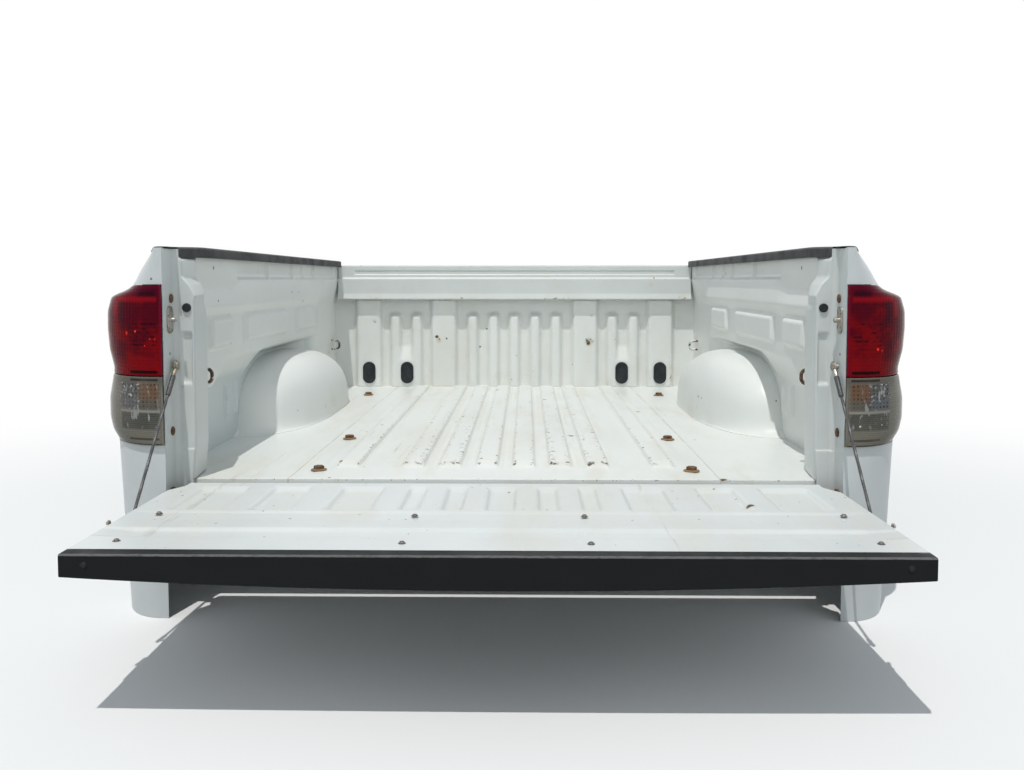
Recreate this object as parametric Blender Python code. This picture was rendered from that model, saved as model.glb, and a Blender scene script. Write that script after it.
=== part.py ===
"""Pickup cargo bed with its tailgate down.

A ribbed floor on cross sills, a bulkhead with its header, double-wall sides with wheel housings, rail caps and
tail lamps, and a tailgate that swings on two trunnions, is stopped by two check cables and is held shut by two
latch claws. Metres, +X to the right seen from behind, +Y to the front of the bed, +Z up. The origin is the
middle of the rear cross sill's underside, where the bed bolts to a chassis.

Places are worked out in bed coordinates: x from the middle, y from the floor's rear edge, h above the floor's
low flats. The constant BED carries them to the origin above.
"""

import math

import bmesh
import bpy
import numpy as np
from mathutils import Matrix, Vector

# Stock and fits
SHEET = 0.0016
PLASTIC = 0.003
FOLD = 0.004
GAP = 0.0003
RUNNING_GAP = 0.0005

# Floor and sills
FLOOR_LENGTH = 2.000
FLOOR_HALF = 0.830
REAR_OVERHANG = 0.112
FLOOR_LIP = 0.030
RIB_RISE = 0.010
RIB_WIDTH = 0.047
RIB_PITCH = 0.094
RIB_SLOPE = 0.009
RIBS_A_SIDE = 3
SIDE_RIB_X = 0.400
RIB_RUNOUT_REAR = (0.140, 0.190)
RIB_RUNOUT_FRONT = (FLOOR_LENGTH - 0.070, FLOOR_LENGTH - 0.040)
SILL_HEIGHT = 0.055
SILL_WIDTH = 0.070
SILL_FLANGE = 0.022
SILL_FLARE = 0.010
WHEEL_Y = 0.555 * FLOOR_LENGTH
SILL_FROM_WHEEL = (-0.531, 0.010)
FRONT_SILL_IN = 0.338
SILL_Y = (REAR_OVERHANG, WHEEL_Y + SILL_FROM_WHEEL[0], WHEEL_Y + SILL_FROM_WHEEL[1],
          FLOOR_LENGTH - FRONT_SILL_IN)
SILL_HALF = (0.780, 0.600, 0.600, 0.680)
BOLT_PLACES = ((0.463, SILL_Y[0]), (0.473, SILL_Y[1]), (0.597, SILL_Y[3]))
BOLT_NAMES = ("rear", "middle", "front")
BOLT_FLANGE_RADIUS = 0.020
BOLT_FLANGE = 0.004
BOLT_HEX_RADIUS = 0.0125
BOLT_HEAD = 0.011

# Bulkhead and header
PAD_RISE = 0.024
PAD_SLOPE = 0.014
PAD_WIDE = 0.097
PAD_NARROW = 0.030
PADS = ((-0.646, PAD_WIDE), (-0.527, PAD_NARROW), (-0.433, PAD_NARROW), (-0.313, PAD_WIDE),
        (-0.184, PAD_NARROW), (-0.092, PAD_NARROW), (0.0, PAD_NARROW), (0.092, PAD_NARROW),
        (0.184, PAD_NARROW), (0.313, PAD_WIDE), (0.433, PAD_NARROW), (0.527, PAD_NARROW), (0.646, PAD_WIDE))
PAD_FOOT = (0.002, 0.013)
PAD_HEAD = 0.384
NARROW_HEAD = (0.312, 0.330)
PLUG_FLAT_HEAD = (0.118, 0.165)
BULKHEAD_FOOT = -0.012
HEADER_HALF = 0.7755
HEADER_TOP = 0.538
HEADER_GROOVE = (0.496, 0.514)
HEADER_STEP = 0.479
HEADER_BOTTOM = 0.385
HEADER_OVERHANG = 0.022
HEADER_LIP = 0.008
HEADER_LIP_HEIGHT = 0.024
HEADER_DEPTH = 0.030
GROOVE_DEPTH = 0.006
STEP_DEPTH = 0.010
GROOVE_SLOPE = 0.002
HEADER_HEM = 0.040
PLUG_X = (-0.645, -0.476, 0.476, 0.645)
PLUG_NAMES = ("left_outer", "left_inner", "right_inner", "right_outer")
PLUG_H = 0.062
PLUG_WIDTH = 0.056
PLUG_HEIGHT = 0.096
PLUG_THICK = 0.007
PLUG_BEVEL = 0.003

# Inner sides
RAIL_H = 0.5525
WALL_X = 0.782
WALL_EDGE_X = 0.768
WALL_TOP_X = 0.780
WALL_FRONT_X = 0.797
WALL_EDGE_H = 0.402
SHOULDER_H = 0.474
SHOULDER_REAR_H = 0.440
SHOULDER_STEP = 0.008
LEDGE_H = 0.236
LEDGE_REAR_H = 0.177
LEDGE_TOP_H = 0.256
LEDGE_TOP_REAR_H = 0.190
REAR_PAD = (0.262, 0.438)
PADS_FROM_WHEEL = (-0.540, -0.070, 0.100, 0.340)
WALL_PADS = (REAR_PAD, (WHEEL_Y + PADS_FROM_WHEEL[0], WHEEL_Y + PADS_FROM_WHEEL[1]),
             (WHEEL_Y + PADS_FROM_WHEEL[2], WHEEL_Y + PADS_FROM_WHEEL[3]))
WALL_PAD_H = (0.298, 0.362)
WALL_PAD_RISE = 0.011
WALL_PAD_SLOPE = 0.011
WALL_REAR_Y = 0.165
TOP_FLANGE = 0.022
EDGE_FRONT_IN = 0.006
SHOULDER_IN = 0.004
SHOULDER_RAMP = (0.420, 0.520)
LEDGE_FROM_WHEEL = (-0.410, -0.320)
LEDGE_RAMP = (WHEEL_Y + LEDGE_FROM_WHEEL[0], WHEEL_Y + LEDGE_FROM_WHEEL[1])
LEDGE_TOP_RAMP = (0.290, 0.400)
WALL_FROM_WHEEL = (0.410, 0.530)
WALL_RAMP = (WHEEL_Y + WALL_FROM_WHEEL[0], WHEEL_Y + WALL_FROM_WHEEL[1])
EDGE_FROM_WHEEL = (0.430, 0.660)
EDGE_RAMP = (WHEEL_Y + EDGE_FROM_WHEEL[0], WHEEL_Y + EDGE_FROM_WHEEL[1])

# Wheel housings and arches
HOUSING_HALF_LENGTH = 0.455
HOUSING_INNER_X = 0.635
HOUSING_HEIGHT = 0.225
HOUSING_OUTER_X = 0.925
HOUSING_PLAN_POWER = 2.8
HOUSING_SECTION_POWER = 2.6
HOUSING_STEPS = 12
HOUSING_SECTIONS = 7
HOUSING_CLEARANCE = 0.0008
FLOOR_NOTCH_X = 0.700
FLOOR_NOTCH_HALF = 0.360
ARCH_HALF = 0.440
ARCH_RISE = 0.520
ARCH_FLARE = 0.022
ARCH_FLARE_WIDTH = 0.060
ARCH_STEPS = 12

# Outer sides
SKIRT_H = -0.310
HEM = 0.024
SIDE_FRONT_Y = FLOOR_LENGTH + 0.030
CORNER_X = 0.790
CORNER_LENGTH = 0.170
CORNER_STEPS = 5
REAR_FACE_Y = -0.075
SIDE_WIDENING = 0.012
SIDE_WIDENING_LENGTH = 0.500
RAIL_FLANGE = 0.020
RAIL_FLANGE_BACK = 0.012
SIDE_JOINTS_Y = (0.300, FLOOR_LENGTH - 0.220)
SIDE_PROFILE_H = (SKIRT_H, -0.100, 0.0, 0.094, 0.200, 0.300, 0.400, 0.440, 0.463, 0.506, 0.545, RAIL_H)
SKIN_CROWN_H = (0.530, 0.506)
SKIN_MIDDLE_H = (0.430, 0.360, 0.270)
SKIN_LOWER_H = (-0.020, -0.140)
SIDE_PROFILE_X = (0.913, 0.926, 0.931, 0.936, 0.948, 0.948, 0.935, 0.912, 0.886, 0.858, 0.820, 0.803)

# Tailgate pillars and what is bolted to them
OPENING_HALF = 0.775
PILLAR_LIP_X = 0.735
PILLAR_MID_X = 0.727
PILLAR_TOOTH_X = 0.724
PILLAR_TOOTH_H = (0.415, 0.436)
PILLAR_POCKET_H = 0.462
PILLAR_POCKET_X = 0.755
PILLAR_NOTCH_H = 0.074
PILLAR_FOOT_H = -0.110
PILLAR_DEPTH = 0.125
PILLAR_NOTCH_IN = 0.004
PILLAR_TOOTH_OUT = 0.014
PILLAR_POCKET_STEP = 0.018
PILLAR_CHEEK_OUT = 0.012
PILLAR_CHEEK_GAP = 0.003
PILLAR_LIP_TURN = 0.003
FLANGE_GAP = 0.0009
SLOT_X = (0.730, 0.757)
SLOT_H = (0.234, 0.343)
SLOT_DEPTH = 0.007
SLOT_RAMP = 0.008
SLOT_MARGIN = 0.006
SLOT_WALL = (0.001, 0.002, 0.004)
BUMP_X = 0.745
BUMP_H = 0.408
BUMP_RADIUS = 0.0105
BUMP_THICK = 0.005
STRIKER_H = 0.381
STRIKER_A = 0.005
STRIKER_PIN_RADIUS = 0.006
STRIKER_PLATE = (0.030, 0.063)
STRIKER_PLATE_THICK = 0.004
STRIKER_PLATE_RADIUS = 0.0145
CHAMFER = 0.001

# Rail caps
CAP_INNER_X = 0.763
CAP_OUTER_X = 0.801
CAP_LIP_H = 0.529
CAP_REAR_Y = -0.055

# Tie-down loops
LOOP_WIRE = 0.0045
LOOP_HEIGHT = 0.036
LOOP_REACH = 0.034
LOOP_BEND = 0.80
LOOP_STEPS = 6
LOOP_PLACES = (("rear", 0.1755, 0.229), ("front", FLOOR_LENGTH - 0.100, 0.190))

# Tail lamps
LAMP_H = (0.094, 0.463)
LAMP_SEAM_H = 0.253
LAMP_INNER_X = 0.7755
LAMP_PROUD = 0.008
LENS = 0.003
LAMP_DEPTH = 0.045
LAMP_RIM = 0.031
LAMP_EDGE_GAP = 0.002
LAMP_FOOT_GAP = 0.0006
LAMP_SEAM = 0.0008
LAMP_SEAT = 0.0017
LAMP_PROFILE_H = (0.094, 0.120, 0.150, 0.197, 0.230, 0.265, 0.310, 0.360, 0.400, 0.437, 0.449, 0.463)
LAMP_PROFILE_X = (0.932, 0.950, 0.957, 0.957, 0.950, 0.943, 0.955, 0.959, 0.958, 0.946, 0.903, 0.884)

# Tailgate, measured along s from its hinge axis and across a from the same axis
HINGE_DROP = 0.032
HINGE_BACK = 0.040
GATE_HALF = 0.755
GATE_HINGE_HALF = 0.730
GATE_NARROW = (0.045, 0.070)
GATE_END_RADIUS = 0.030
GATE_LENGTH = 0.582
GATE_CAP = 0.035
GATE_SKIN_ROOT = 0.030
GATE_SKIN_TIP = 0.009
GATE_CROWN = 0.021
GATE_CROWN_START = 0.160
GATE_ARC_DEG = (110, 145, 180, 215, 250)
GATE_STATIONS = (0.045, 0.160, 0.290)
GATE_SHARES = (0.35, 0.60, 0.85)
GATE_WALL_START = -0.010
CAP_ROUND = 0.006
CAP_STATIONS = 11
GATE_RIBS = ((0.055, 0.046), (0.147, 0.046), (0.240, 0.056), (0.400, 0.070), (0.550, 0.056))
GATE_RIB_SLOPE = 0.008
GATE_RIB_S = (0.046, 0.056, 0.246, 0.258)
GATE_FIELD_DEPTH = 0.007
GATE_MARGIN_X = 0.690
GATE_CHANNEL_S = (0.398, 0.408, 0.452, 0.462)
GATE_CHANNEL_DEPTH = 0.006

# Hinge trunnions and cups
TRUNNION_RADIUS = 0.009
TRUNNION_FLANGE = (0.022, 0.004)
CUP_FLANGE = (0.025, 0.003)
CUP_RADIUS = 0.016
CUP_LENGTH = 0.020
TRUNNION_END_GAP = 0.004
TRUNNION_CHAMFER = 0.002

# Check cables
CABLE_X = 0.7655
CABLE_RADIUS = 0.0035
CABLE_SLEEVE_RADIUS = 0.0060
CABLE_SLEEVE = (0.030, 0.085)
CABLE_TOP = (-0.022, 0.273)
CABLE_BOTTOM_S = 0.258
CABLE_BOTTOM_A = -0.003
EYE_RADIUS = 0.0135
EYE_THICK = 0.004
STUD_RADIUS = 0.0055
STUD_HEAD_RADIUS = 0.0105
STUD_HEAD = 0.0035

# Handle, rods and latches
HANDLE_S = (0.402, 0.474)
BEZEL_HALF = 0.105
GARNISH_HALF = 0.190
GARNISH_S = 0.388
BEZEL_DEPTH = 0.024
BEZEL_WALL = 0.0025
HANDLE_HALF = 0.086
HANDLE_GRIP_S = 0.420
HANDLE_THICK = 0.007
HANDLE_BARREL = 0.005
HANDLE_BACK_GAP = 0.003
HANDLE_FACE_IN = 0.001
HANDLE_GRIP = 0.010
HANDLE_GRIP_HOOK = 0.004
HANDLE_NECK = 0.90
BEZEL_DRAFT = 0.001
ROD_RADIUS = 0.004
ROD_TRAVEL = 0.010
ROD_S = 0.438
ROD_A = 0.004
ROD_END_GAP = 0.004
LATCH_PLATE = (0.100, 0.036)
LATCH_PLATE_THICK = 0.003
CLAW_THICK = 0.004
CLAW_PIVOT = (-0.030, -0.017)
CLAW_PIN_RADIUS = 0.004
CLAW_CLEARANCE = 0.0015
CLAW_WEB = 0.007
CLAW_OPEN_DEG = 75.0
CLAW_HOOK = 0.006
CLAW_HOOK_END = 0.001
CLAW_ARM_STEP = 0.003
CLAW_PIN_HEAD = (0.002, 0.0015)
LATCH_PLATE_RADIUS = 0.010
LATCH_PLATE_DROP = 0.001

FLOOR_Z = SILL_HEIGHT + GAP + SHEET
BED = np.array([0.0, -REAR_OVERHANG, FLOOR_Z])
FLANGE_Y = -SHEET - FLANGE_GAP
HINGE_Y = -HINGE_BACK
HINGE_H = -HINGE_DROP
SIDES = (("left", -1), ("right", 1))
MERGE = 1e-6
FLAT_ANGLE = 0.002
ROUND = 16


def clear_scene():
    for obj in list(bpy.data.objects):
        bpy.data.objects.remove(obj, do_unlink=True)


def finish(name, colour, roughness, metallic=0.0):
    """A Principled material of one plain finish."""
    material = bpy.data.materials.new(name)
    material.use_nodes = True
    shader = material.node_tree.nodes["Principled BSDF"]
    shader.inputs["Base Color"].default_value = (*colour, 1.0)
    shader.inputs["Roughness"].default_value = roughness
    shader.inputs["Metallic"].default_value = metallic
    return material


def bed(x, y, h):
    """World place of a point in bed coordinates."""
    return Vector((x, y, h)) + Vector(BED)


def gate(x, s, a):
    """Bed coordinates of a point of the open tailgate, s along it from the hinge and a above the hinge."""
    return x, HINGE_Y - s, HINGE_H + a


def place(name, mesh, material, smooth_deg=30.0):
    """An object for a finished mesh, with its sharp edges kept."""
    obj = bpy.data.objects.new(name, mesh)
    bpy.context.scene.collection.objects.link(obj)
    mesh.materials.append(material)
    mesh.shade_smooth()
    mesh.set_sharp_from_angle(angle=math.radians(smooth_deg))
    return obj


def to_mesh(name, bm):
    mesh = bpy.data.meshes.new(name)
    bm.to_mesh(mesh)
    bm.free()
    return mesh


def pressed(name, grid, material, gauge=SHEET, keep=None, flip=False):
    """A pressed sheet: the grid of bed points is its show face and the stock lies behind it at even gauge."""
    grid = np.asarray(grid, float) + BED
    rows, columns = grid.shape[:2]
    bm = bmesh.new()
    verts = [[bm.verts.new(p) for p in row] for row in grid]
    for i in range(rows - 1):
        for j in range(columns - 1):
            if keep is None or keep[i][j]:
                corners = [verts[i][j], verts[i + 1][j], verts[i + 1][j + 1], verts[i][j + 1]]
                bm.faces.new(corners[::-1] if flip else corners)
    spare = [v for v in bm.verts if not v.link_faces]
    bmesh.ops.delete(bm, geom=spare, context="VERTS")
    bmesh.ops.remove_doubles(bm, verts=bm.verts[:], dist=MERGE)
    bmesh.ops.dissolve_limit(bm, angle_limit=FLAT_ANGLE, verts=bm.verts[:], edges=bm.edges[:])
    obj = place(name, to_mesh(name, bm), material)
    wall = obj.modifiers.new("gauge", "SOLIDIFY")
    wall.thickness = gauge
    wall.offset = -1.0
    wall.use_even_offset = True
    return obj


def turned(name, profile, material, centre, axis="X", closed=False, sides=ROUND):
    """A turned piece: (radius, height) points from the foot up, spun about an axis through a bed point.

    A closed profile is a ring with a bore, and its points run up the outside and down the bore.
    """
    angles = np.linspace(0.0, 2.0 * math.pi, sides, endpoint=False)
    bm = bmesh.new()
    loops = []
    for radius, height in profile:
        if radius == 0.0:
            loops.append([bm.verts.new((0.0, 0.0, height))] * sides)
        else:
            loops.append([bm.verts.new((radius * math.cos(t), radius * math.sin(t), height)) for t in angles])
    pairs = list(zip(loops, loops[1:]))
    if closed:
        pairs.append((loops[-1], loops[0]))
    for low, high in pairs:
        for k in range(sides):
            n = (k + 1) % sides
            corners = list(dict.fromkeys([low[k], low[n], high[n], high[k]]))
            bm.faces.new(corners)
    turn = {"X": Matrix.Rotation(math.pi / 2, 4, "Y"), "-X": Matrix.Rotation(-math.pi / 2, 4, "Y"),
            "-Y": Matrix.Rotation(math.pi / 2, 4, "X"), "Z": Matrix.Identity(4)}[axis]
    bm.transform(turn)
    obj = place(name, to_mesh(name, bm), material)
    obj.location = bed(*centre)
    return obj


def plate(name, outline, thick, material, to_bed, bevel=0.0):
    """A flat plate: an outline in its own plane, raised by a thickness. to_bed places (u, v, w) in the bed."""
    bm = bmesh.new()
    low = [bm.verts.new(bed(*to_bed(u, v, 0.0))) for u, v in outline]
    high = [bm.verts.new(bed(*to_bed(u, v, thick))) for u, v in outline]
    bm.faces.new(low[::-1])
    bm.faces.new(high)
    for k in range(len(outline)):
        n = (k + 1) % len(outline)
        bm.faces.new((low[k], low[n], high[n], high[k]))
    bmesh.ops.recalc_face_normals(bm, faces=bm.faces[:])
    obj = place(name, to_mesh(name, bm), material)
    if bevel:
        edge = obj.modifiers.new("edge", "BEVEL")
        edge.width = bevel
        edge.segments = 1
        edge.limit_method = "ANGLE"
    return obj


def joined(base, *others):
    """One body from overlapping pieces, by exact unions."""
    for other in others:
        union = base.modifiers.new("union", "BOOLEAN")
        union.operation = "UNION"
        union.object = other
    bpy.context.view_layer.update()
    graph = bpy.context.evaluated_depsgraph_get()
    mesh = bpy.data.meshes.new_from_object(base.evaluated_get(graph))
    base.modifiers.clear()
    base.data = mesh
    for other in others:
        bpy.data.objects.remove(other, do_unlink=True)
    return base


def bored(base, cutter):
    """A piece with another one cut out of it."""
    cut = base.modifiers.new("bore", "BOOLEAN")
    cut.operation = "DIFFERENCE"
    cut.object = cutter
    bpy.context.view_layer.update()
    graph = bpy.context.evaluated_depsgraph_get()
    mesh = bpy.data.meshes.new_from_object(base.evaluated_get(graph))
    base.modifiers.clear()
    base.data = mesh
    bpy.data.objects.remove(cutter, do_unlink=True)
    return base


def rounded(width, height, radius, steps=4):
    """Outline of a rounded rectangle about its own middle."""
    points = []
    for corner, (sx, sy) in enumerate(((1, 1), (-1, 1), (-1, -1), (1, -1))):
        for k in range(steps + 1):
            t = math.pi / 2 * (corner + k / steps)
            points.append((sx * (width / 2 - radius) + radius * math.cos(t),
                           sy * (height / 2 - radius) + radius * math.sin(t)))
    return points


def hang(obj, pivot):
    """Parents a moving piece to an empty on its joint's axis, keeping its place."""
    bpy.context.view_layer.update()
    held = obj.matrix_world.copy()
    obj.parent = pivot
    obj.matrix_parent_inverse = pivot.matrix_world.inverted()
    obj.matrix_world = held
    return obj


def pivot_at(name, x, y, h):
    empty = bpy.data.objects.new(name, None)
    bpy.context.scene.collection.objects.link(empty)
    empty.location = bed(x, y, h)
    bpy.context.view_layer.update()
    return empty


def rib_profile():
    """Stations across the floor with their rise: the low flats and the raised ribs."""
    centres = [RIB_PITCH * (k + 0.5) for k in range(RIBS_A_SIDE)] + [SIDE_RIB_X]
    stations = {FLOOR_NOTCH_X: 0.0, FLOOR_HALF - GAP: 0.0}
    for centre in centres:
        for side in (-1, 1):
            stations[centre + side * RIB_WIDTH / 2] = RIB_RISE
            stations[centre + side * (RIB_WIDTH / 2 + RIB_SLOPE)] = 0.0
    right = sorted(stations.items())
    return [(-x, rise) for x, rise in reversed(right)] + right


def bed_floor(paint):
    """Ribbed floor with a turned-down rear lip and a notch over each wheel."""
    notch = (WHEEL_Y - FLOOR_NOTCH_HALF, WHEEL_Y + FLOOR_NOTCH_HALF)
    runs = ((0.0, -FLOOR_LIP, 0.0), (0.0, -FOLD, 0.0), (FOLD, 0.0, 0.0), (RIB_RUNOUT_REAR[0], 0.0, 0.0),
            (RIB_RUNOUT_REAR[1], 0.0, 1.0), (notch[0], 0.0, 1.0), (notch[1], 0.0, 1.0),
            (RIB_RUNOUT_FRONT[0], 0.0, 1.0), (RIB_RUNOUT_FRONT[1], 0.0, 0.0), (FLOOR_LENGTH - GAP, 0.0, 0.0))
    stations = rib_profile()
    grid = [[(x, y, h + rise * share) for y, h, share in runs] for x, rise in stations]
    keep = [[not (runs[j][0] == notch[0] and abs(stations[i][0] + stations[i + 1][0]) / 2 > FLOOR_NOTCH_X)
             for j in range(len(runs) - 1)] for i in range(len(stations) - 1)]
    pressed("bed_floor", grid, paint, keep=keep)


def cross_sills(paint):
    """Hat-section sills under the floor, open upwards, with flat undersides to bolt down."""
    half = SILL_WIDTH / 2
    flare = half + SILL_FLARE
    top = -SHEET - GAP
    bottom = -FLOOR_Z
    for number, (y, reach) in enumerate(zip(SILL_Y, SILL_HALF), start=1):
        hat = ((y - flare - SILL_FLANGE, top - SHEET), (y - flare, top - SHEET), (y - half, bottom),
               (y + half, bottom), (y + flare, top - SHEET), (y + flare + SILL_FLANGE, top - SHEET))
        grid = [[(x, v, h) for v, h in hat] for x in (-reach, reach)]
        pressed(f"cross_sill_{number}", grid, paint, flip=True)


def floor_bolts(rust):
    """Flanged hex bolts that hold the bed to its chassis."""
    for side, sign in SIDES:
        for where, (x, y) in zip(BOLT_NAMES, BOLT_PLACES):
            foot = (sign * x, y, GAP)
            flange = turned(f"{side}_{where}_bolt", ((0.0, 0.0), (BOLT_FLANGE_RADIUS, 0.0),
                            (BOLT_FLANGE_RADIUS, BOLT_FLANGE * 0.4), (BOLT_HEX_RADIUS, BOLT_FLANGE),
                            (0.0, BOLT_FLANGE)), rust, foot, "Z")
            head = turned("hex", ((0.0, BOLT_FLANGE / 2), (BOLT_HEX_RADIUS, BOLT_FLANGE / 2),
                          (BOLT_HEX_RADIUS, BOLT_HEAD * 0.85), (BOLT_HEX_RADIUS * 0.82, BOLT_HEAD),
                          (0.0, BOLT_HEAD)), rust, foot, "Z", sides=6)
            joined(flange, head)


def front_bulkhead(paint):
    """Bulkhead sheet with ribs raised towards the cargo, and a raised flat round each inner plug."""
    half = WALL_FRONT_X + 2 * SHEET
    wide = (*PAD_FOOT, PAD_HEAD, PAD_HEAD + PAD_SLOPE)
    narrow = (*PAD_FOOT, *NARROW_HEAD)
    flat = (*PAD_FOOT, *PLUG_FLAT_HEAD)
    plugs = [x for name, x in zip(PLUG_NAMES, PLUG_X) if name.endswith("inner")]
    stations = [(-half, None)]
    for centre, width in PADS:
        run = wide if width == PAD_WIDE else narrow
        for edge in (-1, 1):
            foot = centre + edge * (width / 2 + PAD_SLOPE)
            by_plug = any(abs(foot - x) < PLUG_WIDTH for x in plugs)
            stations += [(foot, flat if by_plug else None), (centre + edge * width / 2, run)]
    stations = sorted([*stations, (half, None)], key=lambda station: station[0])
    levels = sorted({BULKHEAD_FOOT, *wide, *narrow, *flat, HEADER_TOP - SHEET - GAP})
    grid = []
    for x, run in stations:
        rises = [float(np.interp(h, run, (0.0, PAD_RISE, PAD_RISE, 0.0))) if run else 0.0 for h in levels]
        grid.append([(x, FLOOR_LENGTH - rise, h) for h, rise in zip(levels, rises)])
    pressed("front_bulkhead", grid, paint)


def bulkhead_header(paint):
    """Folded header along the top of the bulkhead, with a groove and a step in its face and a lip at its foot."""
    pad_face = FLOOR_LENGTH - PAD_RISE - GAP
    low_face = pad_face - HEADER_OVERHANG
    high_face = low_face + STEP_DEPTH
    lip_h = HEADER_BOTTOM + FOLD
    section = ((pad_face, HEADER_BOTTOM), (low_face - HEADER_LIP, lip_h),
               (low_face, lip_h + HEADER_LIP_HEIGHT), (low_face, HEADER_STEP),
               (high_face, HEADER_STEP + FOLD), (high_face, HEADER_GROOVE[0]),
               (high_face + GROOVE_DEPTH, HEADER_GROOVE[0] + GROOVE_SLOPE),
               (high_face + GROOVE_DEPTH, HEADER_GROOVE[1] - GROOVE_SLOPE), (high_face, HEADER_GROOVE[1]),
               (high_face, HEADER_TOP - FOLD), (high_face + FOLD, HEADER_TOP),
               (FLOOR_LENGTH + HEADER_DEPTH, HEADER_TOP),
               (FLOOR_LENGTH + HEADER_DEPTH, HEADER_TOP - HEADER_HEM))
    grid = [[(x, y, h) for y, h in section] for x in (-HEADER_HALF, HEADER_HALF)]
    pressed("bulkhead_header", grid, paint)


def bulkhead_plugs(rubber):
    """Oblong plugs that close the drain holes at the foot of the bulkhead."""
    outline = rounded(PLUG_WIDTH, PLUG_HEIGHT, PLUG_WIDTH * 0.48)
    for name, x in zip(PLUG_NAMES, PLUG_X):
        plate(f"{name}_plug", outline, PLUG_THICK, rubber,
              lambda u, v, w, x=x: (x + u, FLOOR_LENGTH - PAD_RISE - GAP - w, PLUG_H + v), bevel=PLUG_BEVEL)


def eased(y, start, end, before, after):
    """A value that runs straight from before to after between two places."""
    return float(np.interp(y, (start, end), (before, after)))


def wall_section(y, foot):
    """Section of the inner side at a station: (height, x) from the floor line to the top flange."""
    front = eased(y, *WALL_RAMP, 0.0, 1.0)
    low = FLOOR_HALF + (WALL_FRONT_X - FLOOR_HALF) * front
    wall = WALL_X + (WALL_FRONT_X - WALL_X) * front
    edge = WALL_EDGE_X + (WALL_FRONT_X - EDGE_FRONT_IN - WALL_EDGE_X) * eased(y, *EDGE_RAMP, 0.0, 1.0)
    ledge = eased(y, *LEDGE_RAMP, LEDGE_REAR_H, LEDGE_H)
    ledge_top = eased(y, *LEDGE_TOP_RAMP, LEDGE_TOP_REAR_H, LEDGE_TOP_H)
    shoulder = eased(y, *SHOULDER_RAMP, SHOULDER_REAR_H, SHOULDER_H)
    rise = 0.0
    for start, end in WALL_PADS:
        outside = max(start - y, y - end, 0.0)
        rise = max(rise, WALL_PAD_RISE * max(0.0, 1.0 - outside / WALL_PAD_SLOPE))
    return [(foot, low), (ledge, low), (ledge_top, wall), (WALL_PAD_H[0] - WALL_PAD_SLOPE, wall),
            (WALL_PAD_H[0], wall - rise), (WALL_PAD_H[1], wall - rise), (WALL_PAD_H[1] + WALL_PAD_SLOPE, wall),
            (WALL_EDGE_H, edge), (shoulder, WALL_TOP_X - SHOULDER_IN), (shoulder + SHOULDER_STEP, WALL_TOP_X),
            (RAIL_H - SHEET - GAP, WALL_TOP_X), (RAIL_H - SHEET - GAP, WALL_TOP_X + TOP_FLANGE)]


def housing_arch(clearance=0.0):
    """Outline of the wheel housing where it meets the inner side: (y, h) from its rear foot to its front."""
    points = []
    for k in range(HOUSING_STEPS + 1):
        t = math.pi * k / HOUSING_STEPS
        along = math.copysign(abs(math.cos(t)) ** (2 / HOUSING_PLAN_POWER), math.cos(t))
        swell = math.sin(t) ** (2 / HOUSING_PLAN_POWER) if 0 < k < HOUSING_STEPS else 0.0
        points.append((WHEEL_Y - (HOUSING_HALF_LENGTH + clearance) * along,
                       (HOUSING_HEIGHT + clearance) * swell))
    return points


def inner_sides(paint):
    """Inner walls with their ledges, raised pads and shoulder, cut out round the wheel housings."""
    arch = housing_arch(HOUSING_CLEARANCE)
    stations = {y for y, h in arch}
    for start, end in WALL_PADS:
        stations.update((start - WALL_PAD_SLOPE, start, end, end + WALL_PAD_SLOPE))
    ramps = (*SHOULDER_RAMP, *LEDGE_RAMP, *LEDGE_TOP_RAMP, *WALL_RAMP, *EDGE_RAMP)
    stations.update((WALL_REAR_Y, *ramps, FLOOR_LENGTH - GAP))
    arch_y = [y for y, h in arch]
    arch_h = [h for y, h in arch]
    for side, sign in SIDES:
        grid = []
        for y in sorted(stations):
            foot = max(GAP, float(np.interp(y, arch_y, arch_h, 0.0, 0.0)))
            grid.append([(sign * x, y, h) for h, x in wall_section(y, foot)])
        pressed(f"{side}_inner_side", grid, paint, flip=sign > 0)


def wheel_housings(paint):
    """Domed housings over the wheels: a superellipse in plan and in section, run out to the outer side."""
    width = FLOOR_HALF - HOUSING_INNER_X
    for side, sign in SIDES:
        grid = []
        for y, height in housing_arch():
            swell = height / HOUSING_HEIGHT
            row = []
            for j in range(HOUSING_SECTIONS + 1):
                f = math.pi / 2 * j / HOUSING_SECTIONS
                reach = abs(math.cos(f)) ** (2 / HOUSING_SECTION_POWER) if j < HOUSING_SECTIONS else 0.0
                rise = math.sin(f) ** (2 / HOUSING_SECTION_POWER)
                row.append((sign * (FLOOR_HALF - width * swell * reach), y, GAP + height * rise))
            row.append((sign * HOUSING_OUTER_X, y, GAP + height))
            grid.append(row)
        pressed(f"{side}_wheel_housing", grid, paint, flip=sign > 0)


def side_x(h):
    return float(np.interp(h, SIDE_PROFILE_H, SIDE_PROFILE_X))


def arch_flare(y, h):
    """Swell of the outer side round its wheel arch, fading with the distance from the arch's edge."""
    ring = math.hypot((y - WHEEL_Y) / ARCH_HALF, (h - SKIRT_H) / ARCH_RISE)
    distance = max(0.0, ring - 1.0) * ARCH_HALF
    return ARCH_FLARE * math.exp(-((distance / ARCH_FLARE_WIDTH) ** 2))


def skin_rows(bottom):
    """Heights down the outer side; the lower ones close up over the wheel arch."""
    upper = [RAIL_H, *SKIN_CROWN_H, LAMP_H[1], *SKIN_MIDDLE_H]
    lower = [LAMP_H[0], *SKIN_LOWER_H, SKIRT_H]
    share = (upper[-1] - bottom) / (upper[-1] - SKIRT_H)
    return upper + [upper[-1] - (upper[-1] - h) * share for h in lower]


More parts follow.
